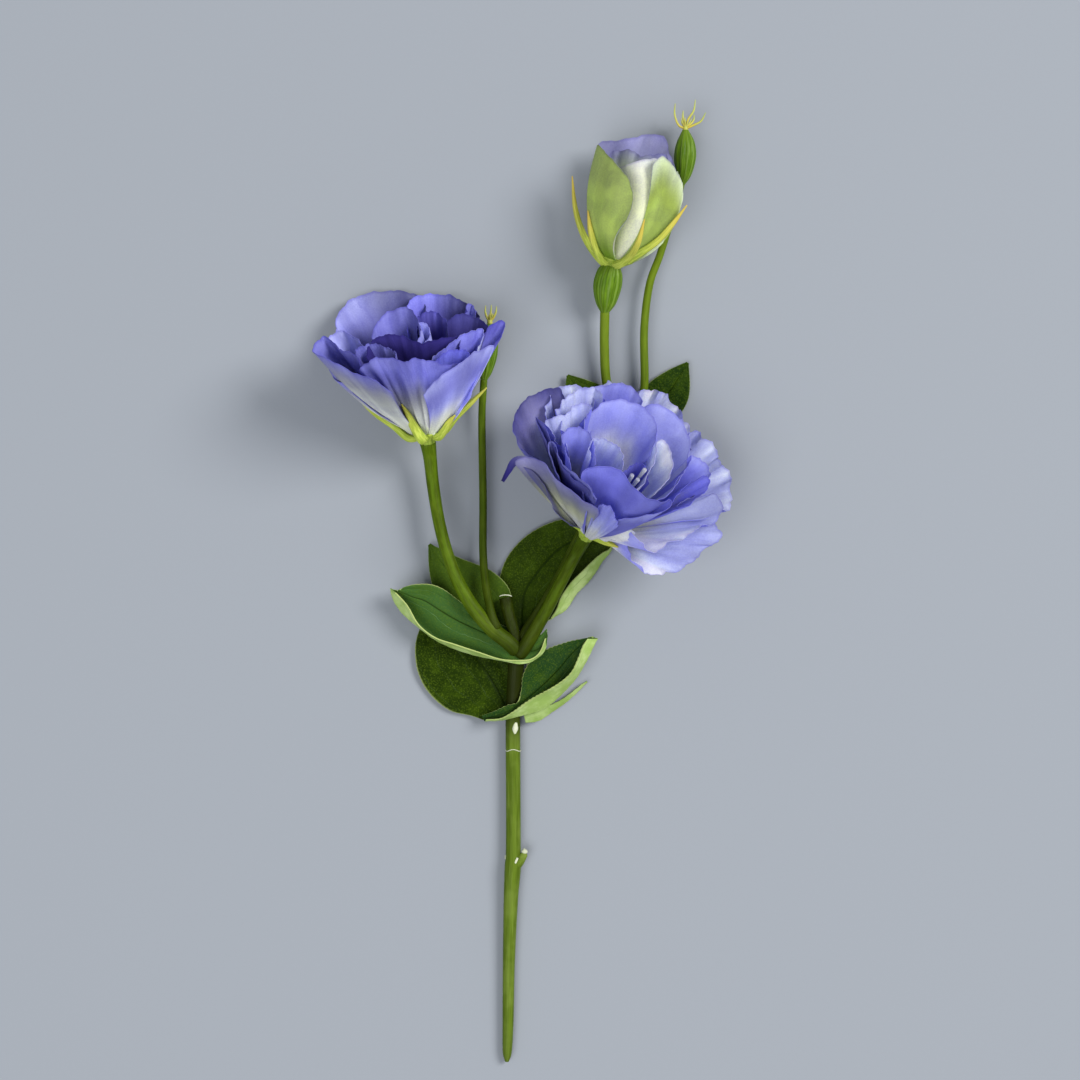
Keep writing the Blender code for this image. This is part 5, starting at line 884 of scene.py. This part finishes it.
for node, t in TUFTS.items():
    b, root, way = Build(), np.asarray(t["root"]), unit(t["along"])
    knob = [(*(root + way * far), t["radius"] * wide) for far, wide in ((-0.4, 1.05), (0.6, 1.0), (1.5, 0.7))]
    # deep: painted shade on the knob at the hairs' foot
    b.tube(knob, 24, 10, deep=0.3)
    for j, line in enumerate(t["hairs"]):
        points = [way * 0.3, *line]
        b.tube([(*(root + p), r) for p, r in zip(points, HAIR_RADII)], 12, 22, light=0.25 if j % 2 else 0.0)
    rng = np.random.default_rng(7 if node.endswith("right") else 3)
    for j in range(SHORT_HAIRS):
        a = 2 * math.pi * j / SHORT_HAIRS + rng.uniform(-0.3, 0.3)
        lean = np.array([math.cos(a), 0.0, math.sin(a)])
        long = rng.uniform(1.6, 3.4)
        hair = [(*(root + way * (0.8 + long * up) + lean * (foot + out * long)), r)
                for up, foot, out, r in ((0.0, 0.3, 0.0, 0.3), (0.6, 0.7, 0.3, 0.24), (1.0, 0.6, 0.5, 0.1))]
        b.tube(hair, 8, 9, light=0.5)
    b.make(node + "_fine", node, HAIR, "hair")

# ------------ calyxes
# how yellow and how brown the sepals turn towards their tips
TIPS = {"calyx_bud": ((0.0, 0.1, 0.4, 0.8), (0.0, 0.0, 0.15, 0.55))}
PLAIN_TIPS = ((0.0, 0.0, 0.25, 0.6), (0.0, 0.0, 0.0, 0.15))
TIP_SHARE = 0.6                 # how much of its radius a sepal keeps at its tip

for node, c in CALYXES.items():
    flower = FLOWERS[c["flower"]]
    axis, base = flower_axis(flower), np.asarray(flower["base"])
    far, wide = c["cup"][-1]
    cup = [(*(base + axis * h), r) for h, r in c["cup"] + [(far + 0.5, wide - 0.5), (far - 0.4, wide - 1.6)]]
    # deep: painted shade on the cup, most at its foot
    b = Build().tube(cup, 60, 30, ribs=(10, 0.10), deep=(0.5, 0.4, 0.25, 0.2, 0.3, 0.4), rounded=False)
    light, free = TIPS.get(node, PLAIN_TIPS)
    for line in SEPALS[node]:
        line = line[:-1] + [(*line[-1][:3], line[-1][3] * TIP_SHARE)]
        b.tube(smooth_path(line, 34), 18, 34, ribs=(4, 0.28), light=light, free=free)
    b.make(node + "_fine", node, CALYX, "calyx")

# ------------ petals
# NIGHT and DEEP are near-black violets: partly the deeper violet low in the flowers, partly painted shade
# deep inside them
WHITE, CREAM, IVORY, ASH = (0.84, 0.87, 0.80), (0.66, 0.69, 0.48), (0.60, 0.63, 0.62), (0.34, 0.35, 0.44)
PEARL, LIGHT, LAV, BLUE = (0.56, 0.60, 0.95), (0.40, 0.42, 0.88), (0.22, 0.225, 0.66), (0.17, 0.18, 0.66)
MID, MUTE, DEEP, NIGHT = (0.11, 0.105, 0.46), (0.115, 0.110, 0.32), (0.045, 0.036, 0.24), (0.022, 0.016, 0.13)
LIME, MOSS, STRAW, MILK = (0.30, 0.44, 0.055), (0.16, 0.27, 0.020), (0.38, 0.48, 0.13), (0.74, 0.84, 0.58)
# the cream after LILAC is painted light: brighter than the bud's middle petal, which lies shaded by its
# neighbours
LILAC, PAINTED_LIGHT_CREAM = (0.36, 0.35, 0.66), (0.94, 0.95, 0.70)


class Skin:
    """How one petal looks. Colours run from root to edge: inside is the face that looks into the flower, and
    outside None means the same ones. The rest:
    sides   painted light and shade: brighter or darker towards its two side edges
    crimp   how strongly its edge is crimped, in mm
    fold    how deep its lengthwise folds are, in mm
    belly   how much fuller it is between its neighbours, in mm
    keep    what is kept of it, from -1 to 1 across: the rest would show through a neighbour
    turned  whether its left side edge turns over and shows the outer colours on both faces"""

    def __init__(self, inside, outside=(CREAM, IVORY, ASH, LAV, LAV), sides=(1.0, 1.0), crimp=0.28, fold=0.0,
                 belly=0.0, keep=(-1.0, 1.0), turned=False):
        self.faces, self.sides, self.crimp, self.fold = (inside, outside or inside), sides, crimp, fold
        self.belly, self.keep, self.turned = belly, keep, turned


SKINS = {"bloom_left": {
    "back left": Skin((NIGHT, NIGHT, DEEP, LAV, LIGHT), sides=(1.0, 0.40), crimp=0.5),
    "back right": Skin((NIGHT, NIGHT, DEEP, MID, LAV), sides=(1.50, 0.32), crimp=0.5),
    "back fold": Skin((DEEP, DEEP, DEEP, MID, MID)),
    "left inside": Skin((DEEP, MID, LAV, LIGHT, LIGHT), sides=(1.05, 0.9)),
    "centre": Skin((NIGHT, DEEP, MID, LAV, LAV), sides=(1.0, 0.8)),
    "centre right": Skin((NIGHT, NIGHT, DEEP, DEEP, MID)),
    "right inner": Skin((NIGHT, NIGHT, DEEP, DEEP, MID), sides=(0.60, 0.55), keep=(-0.26, 1.0)),
    "curled strip": Skin((DEEP, MID, MID, LAV, LIGHT), None),
    "front inner": Skin((NIGHT, NIGHT, NIGHT, NIGHT, DEEP), None, sides=(0.85, 0.85)),
    "left fold": Skin((DEEP, DEEP, MID, MID, LAV), None, sides=(0.85, 0.85)),
    "far left inside": Skin((NIGHT, NIGHT, DEEP, DEEP, MID), sides=(0.85, 0.85)),
    "right blue": Skin((MID, LAV, LIGHT, LIGHT, PEARL), sides=(1.1, 1.1)),
    "right deep": Skin((DEEP, DEEP, BLUE, BLUE, BLUE), None, sides=(1.2, 1.2)),
    "far right tip": Skin((CREAM, LAV, LAV, LAV, MID), (CREAM, ASH, LAV, LAV, MID), sides=(1.15, 1.15)),
    "front middle": Skin((NIGHT, DEEP, MID, MID, MID), (WHITE, WHITE, ASH, LAV, LAV),
                         sides=(0.85, 1.05), fold=1.5),
    "front left": Skin((NIGHT, DEEP, DEEP, MID, LAV), (CREAM, WHITE, IVORY, ASH, LAV),
                       sides=(0.85, 0.9), turned=True),
    "front right": Skin((DEEP, MID, LAV, LIGHT, LIGHT), (WHITE, WHITE, LIGHT, LAV, LIGHT), sides=(0.95, 1.2)),
}, "bloom_right": {
    "top fringe": Skin((LAV, LAV, LIGHT, LIGHT, PEARL), sides=(1.15, 1.15), crimp=1.9, fold=0.9),
    "right fringe": Skin((LIGHT, LIGHT, LIGHT, PEARL, PEARL), sides=(0.80, 1.05), crimp=2.0, fold=0.9),
    "far left": Skin((PEARL, PEARL, PEARL, LILAC, MUTE), sides=(0.78, 0.66), crimp=0.4),
    "top violet": Skin((LAV, LAV, LAV, LAV, LIGHT), keep=(-1.0, 0.80)),
    "left ruffle 1": Skin((LIGHT, LIGHT, PEARL, PEARL, PEARL), crimp=0.7),
    "left ruffle 2": Skin((LIGHT, LIGHT, PEARL, PEARL, PEARL), crimp=0.7),
    "left ruffle 3": Skin((LIGHT, PEARL, PEARL, PEARL, PEARL), crimp=0.6),
    "right inner": Skin((WHITE, WHITE, PEARL, LIGHT, LIGHT), sides=(0.68, 1.30), keep=(-0.26, 1.0)),
    "back inner": Skin((WHITE, WHITE, WHITE, LIGHT, LIGHT)),
    "throat ring": Skin((WHITE, BLUE, MID, MID, LAV), (WHITE, LAV, LAV, LAV, LAV)),
    "throat curl": Skin((WHITE, WHITE, WHITE, PEARL, WHITE), (WHITE, WHITE, PEARL, PEARL, PEARL)),
    "right lavender": Skin((WHITE, LIGHT, LAV, LAV, LIGHT)),
    "left inner 1": Skin((WHITE, WHITE, IVORY, LIGHT, LIGHT), None, sides=(0.8, 0.8)),
    "left inner 2": Skin((WHITE, WHITE, PEARL, PEARL, PEARL), (WHITE, WHITE, LIGHT, LIGHT, PEARL)),
    "left edge 1": Skin((DEEP, DEEP, MID, MID, LAV), None, sides=(0.6, 0.6)),
    "left edge 2": Skin((DEEP, DEEP, MID, BLUE, LIGHT), None, sides=(0.6, 0.6)),
    "right violet": Skin((WHITE, LIGHT, LAV, BLUE, BLUE)),
    "lower right": Skin((WHITE, WHITE, PEARL, PEARL, PEARL), sides=(1.60, 0.66), crimp=0.8),
    "lowest": Skin((CREAM, WHITE, PEARL, PEARL, PEARL), sides=(1.60, 0.72), crimp=0.9),
    "front inner": Skin((WHITE, LAV, LAV, LAV, LIGHT), (WHITE, WHITE, LIGHT, LAV, LAV), sides=(1.0, 0.85)),
    "front base": Skin((CREAM, CREAM, CREAM, WHITE, WHITE), (CREAM, WHITE, WHITE, WHITE, IVORY)),
    "front small": Skin((MID, LAV, LAV, LAV, LAV), (WHITE, WHITE, PEARL, LIGHT, LIGHT), sides=(0.85, 0.9)),
    "left outer": Skin((DEEP, MID, MID, LAV, LAV), (WHITE, WHITE, CREAM, ASH, LILAC),
                       sides=(0.50, 0.75), turned=True),
}, "bloom_bud": {
    "back": Skin((LIME, MILK, MILK, LILAC, LILAC), (MOSS, LIME, STRAW, MILK, LILAC), crimp=2.2),
    "left side": Skin((LIME, LIME, MILK, LILAC, LILAC), (MOSS, LIME, STRAW, STRAW, MILK)),
    "right side": Skin((LIME, LIME, MILK, MILK, MILK), (MOSS, LIME, STRAW, MILK, MILK)),
    "inner lilac": Skin((LIME, MILK, MILK, LILAC, LIGHT), (LIME, MILK, MILK, MILK, LILAC),
                        sides=(0.8, 0.8), crimp=2.0),
    "middle": Skin((LIME, MILK, MILK, MILK, LILAC), (PAINTED_LIGHT_CREAM, PAINTED_LIGHT_CREAM, PAINTED_LIGHT_CREAM, PAINTED_LIGHT_CREAM, WHITE), fold=0.8, belly=0.9),
    "right": Skin((LIME, MILK, MILK, LILAC, LILAC), (STRAW, STRAW, STRAW, STRAW, MILK), keep=(-0.72, 1.0)),
    "left": Skin((LIME, MILK, MILK, LILAC, LILAC), (MOSS, STRAW, STRAW, STRAW, STRAW), sides=(0.9, 1.12)),
}}
# how much brighter each flower's petals are painted: painted light for the light each flower catches
PAINTED_LIGHT = {"bloom_left": 1.0, "bloom_right": 1.22, "bloom_bud": 1.08}
BUD_CALM = 0.4                  # how much of a bloom's unevenness the bud's petals have
PETAL_ACROSS, PETAL_ALONG, PETAL_THICK = 64, 34, 0.30
DARKEST, PALEST = 0.008, 0.95
# how close a petal's unevenness lies, in radians from its middle to its side
SWELLS, FOLDS, WRINKLES, CRIMPS, SCALLOPS = 3.6, 8.5, 11.0, 19.0, 27.0


def petal_piece(b, node, name, seed):
    """One petal with its soft folds, crimped edge and scalloped outline."""
    flower, skin, painted_light = FLOWERS[node], SKINS[node][name], PAINTED_LIGHT[node]
    calm = BUD_CALM if node == "bloom_bud" else 1.0
    crimp = skin.crimp * calm
    grid, u, v = petal_grid(flower, *PETALS[node][name], PETAL_ACROSS, PETAL_ALONG)
    keep = (u[0] >= skin.keep[0]) & (u[0] <= skin.keep[1])
    grid, u, v = grid[:, keep], u[:, keep], v[:, keep]
    n, _, way = frame_of(grid)
    rim = ease((v - 0.72) / 0.28) ** 1.5
    bump = skin.belly * np.cos(np.clip(u * 2.4, -1.57, 1.57)) * np.sin(math.pi * v)
    for size, pace, slant, shift, grown in (
            (0.55 * calm, SWELLS, 0.6, 0.0, ease(v * 1.5)),
            (0.10, WRINKLES, 1.0, 2.0, ease(v * 3)),
            (0.8 * skin.fold, FOLDS, 0.5, 3.0, ease(v * 2.5) * (1.1 - 0.5 * v)),
            (crimp, CRIMPS, 1.0, 5.0, rim)):
        bump += size * murmur(u * pace + slant * v, seed + shift) * grown
    scallop = (0.25 + 0.28 * crimp) * murmur(u * SCALLOPS, seed + 11.0) * ease((v - 0.86) / 0.14)
    grid = grid + n * bump[..., None] + way * scallop[..., None]
    axis, base = flower_axis(flower), np.asarray(flower["base"])
    facing = base + axis * float(np.dot(grid[PETAL_ALONG // 2, grid.shape[1] // 2] - base, axis)) * 1.1
    # shade is painted light and shade: each flower's painted brightness, lighter or darker towards the side
    # edges, and light and dark stripes over the crimps and across the folds
    low, high = skin.sides
    shade = painted_light * (low + (high - low) * ease(0.5 + 1.3 * u))
    shade = shade * (1 + 0.16 * crimp * murmur(u * CRIMPS + v, seed + 6.2) * rim)
    shade = (shade * (1 + 0.10 * murmur(u * FOLDS + 0.5 * v, seed + 3.9)))[..., None]
    t = np.clip(v + 0.05 * murmur(u * 6.0, seed + 4.0), 0, 1)
    inside, outside = (np.clip(smooth_table(face, t) * shade, DARKEST, PALEST) for face in skin.faces)
    if skin.turned:
        turned = ease((-u - 0.15) * 5)[..., None]
        inside = inside * (1 - turned) + outside * turned
    thick = PETAL_THICK * (1 - 0.45 * ease((v - 0.8) / 0.2))
    b.sheet(grid, u, v, thick, facing, free=seed, coats=(inside, outside))


def curled_tip(b):
    """The thin tip of the left outer petal, a narrow strip curling down."""
    path = smooth_path(CURLED_TIP, 41)
    side = units(np.cross(np.gradient(path[:, :3], axis=0), [0, 0, 1.0]))
    u, v = even(14, 40)
    half = path[:, 3][:, None]
    grid = path[:, None, :3] + side[:, None, :] * (u * half)[..., None]
    grid[..., 2] += 0.12 * murmur(v * 9.0 + u, 0.6) - 0.5 * half * u ** 2
    # both faces darken to near black towards the tip, painted shade where the strip curls down
    coats = [smooth_table(face, v) for face in ((ASH, MUTE, DEEP, NIGHT), (ASH, ASH, MID, NIGHT))]
    b.sheet(grid, u, v * 0.9, PETAL_THICK, np.array([0, 0, 900.0]), free=0.7, coats=coats)


ROD_FOOT = np.array([27.0, 12.0, 30.0])
ROD_TIPS = (34.0, 21.0, 43.0), (36.5, 24.5, 42.0), (32.0, 22.5, 42.5)
for node, petals in PETALS.items():
    b = Build()
    for k, name in enumerate(petals):
        petal_piece(b, node, name, 0.37 * k + 0.2)
    if node == "bloom_right":
        curled_tip(b)
        for tip in ROD_TIPS:        # the pale rods in its throat
            rod = [(*(ROD_FOOT + (tip - ROD_FOOT) * s), r) for s, r in ((0.3, 0.5), (0.7, 0.55), (1.0, 0.8))]
            b.tube(rod, 14, 14, tint=WHITE)
    b.make(node + "_petals", node, *PETAL_LOOKS[node])

# ------------ leaves
LEAF_THICK = 0.42
# light is a painted sheen where a leaf catches the light; deep, on the bract, is painted shade
LEAF_FACTS = {
    "leaf_lower_left": dict(free=0.0), "leaf_lower_right": dict(free=0.35, teeth=0.45),
    "leaf_mid_left": dict(free=1.0, light=0.35), "leaf_upper_left": dict(free=0.25, light=0.5),
    "leaf_upper_right": dict(free=0.0, light=0.12), "bract_lower": dict(free=0.3, under=True, deep=0.35),
    "leaf_top_right": dict(free=0.1), "leaf_top_left": dict(free=0.1, light=0.3),
}


def leaf_piece(node, free, light=0.0, deep=0.0, teeth=0.12, under=False):
    """A leaf with its groove, the pads between its veins and its toothed edge. The bract is plain."""
    bract = node == "bract_lower"
    across, along, fine = (24, 40, 0.0) if bract else (72, 110, 0.10)
    grid, u, v = leaf_grid(LEAVES[node], across, along, fine, teeth)
    if not bract:
        n = frame_of(grid)[0]
        n = n * np.sign(n[along // 2, across // 2][2])
        groove = -0.42 * np.exp(-(u / 0.035) ** 2) * (1 - v) ** 0.4
        pads = 0.16 * np.abs(np.sin(np.abs(u) * VEIN_LOOPS / 2 + 0.4))
        pads += 0.18 * murmur(v * 9 + np.abs(u) * 5, 1.7 + free) * np.abs(u)
        grid = grid + n * (groove + pads * (1 - np.abs(u) ** 6))[..., None]
    facing = grid[len(grid) // 2, grid.shape[1] // 2] + (0, 0, -50.0 if under else 50.0)
    Build().sheet(grid, u, v, LEAF_THICK, facing, light, deep, free).make(node + "_fine", node, LEAF, "leaf")


for node, facts in LEAF_FACTS.items():
    leaf_piece(node, **facts)

# ------------ floor, light, camera
FLOOR_HALF, FLOOR_GAP = 3.0, 0.0002          # metres: half the floor's side, and its distance below the spray
HEIGHT, FIELD, SENSOR = 0.95, 0.3931, 36.0   # the camera's height, the width it sees (m) and its sensor (mm)

me = bpy.data.meshes.new("floor")
corners = [(FLOOR_HALF * x, FLOOR_HALF * y, 0) for x, y in ((-1, -1), (1, -1), (1, 1), (-1, 1))]
me.from_pydata(corners, [], [(0, 1, 2, 3)])
me.uv_layers.new(name="UVMap")
me.materials.append(plain("floor_card", (0.274, 0.296, 0.330), 0.85))
floor = bpy.data.objects.new("floor", me)
floor.location.z = min(CAD_LO.z, 0.0) - FLOOR_GAP
scene = bpy.context.scene
scene.collection.objects.link(floor)

scene.world = bpy.data.worlds.new("room")
scene.world.use_nodes = True
room = scene.world.node_tree.nodes["Background"].inputs
room[0].default_value, room[1].default_value = (0.92, 0.96, 1.0, 1.0), 0.39


LAMP_AIM = Vector((0.0, 0.05, 0.0))


def lamp(name, place, size, power, colour):
    data = bpy.data.lights.new(name, "AREA")
    data.shape, data.size, data.energy, data.color = "DISK", size, power, colour
    ob = bpy.data.objects.new(name, data)
    ob.location = place
    ob.rotation_euler = (LAMP_AIM - Vector(place)).to_track_quat("-Z", "Y").to_euler()
    scene.collection.objects.link(ob)


lamp("key", (2.0, 0.95, 2.2), 1.5, 93.0, (1.0, 0.985, 0.965))
lamp("fill", (-0.9, -1.0, 2.4), 2.2, 50.0, (0.98, 0.985, 1.0))

cam = bpy.data.cameras.new("camera")
cam.sensor_width, cam.lens, cam.clip_start = SENSOR, SENSOR * HEIGHT / FIELD, 0.01
shot = bpy.data.objects.new("camera", cam)
shot.location = (SHIFT[0] * MM, SHIFT[1] * MM, HEIGHT)
scene.collection.objects.link(shot)
scene.camera = shot
scene.view_settings.view_transform = "Standard"
scene.view_settings.look = "None"
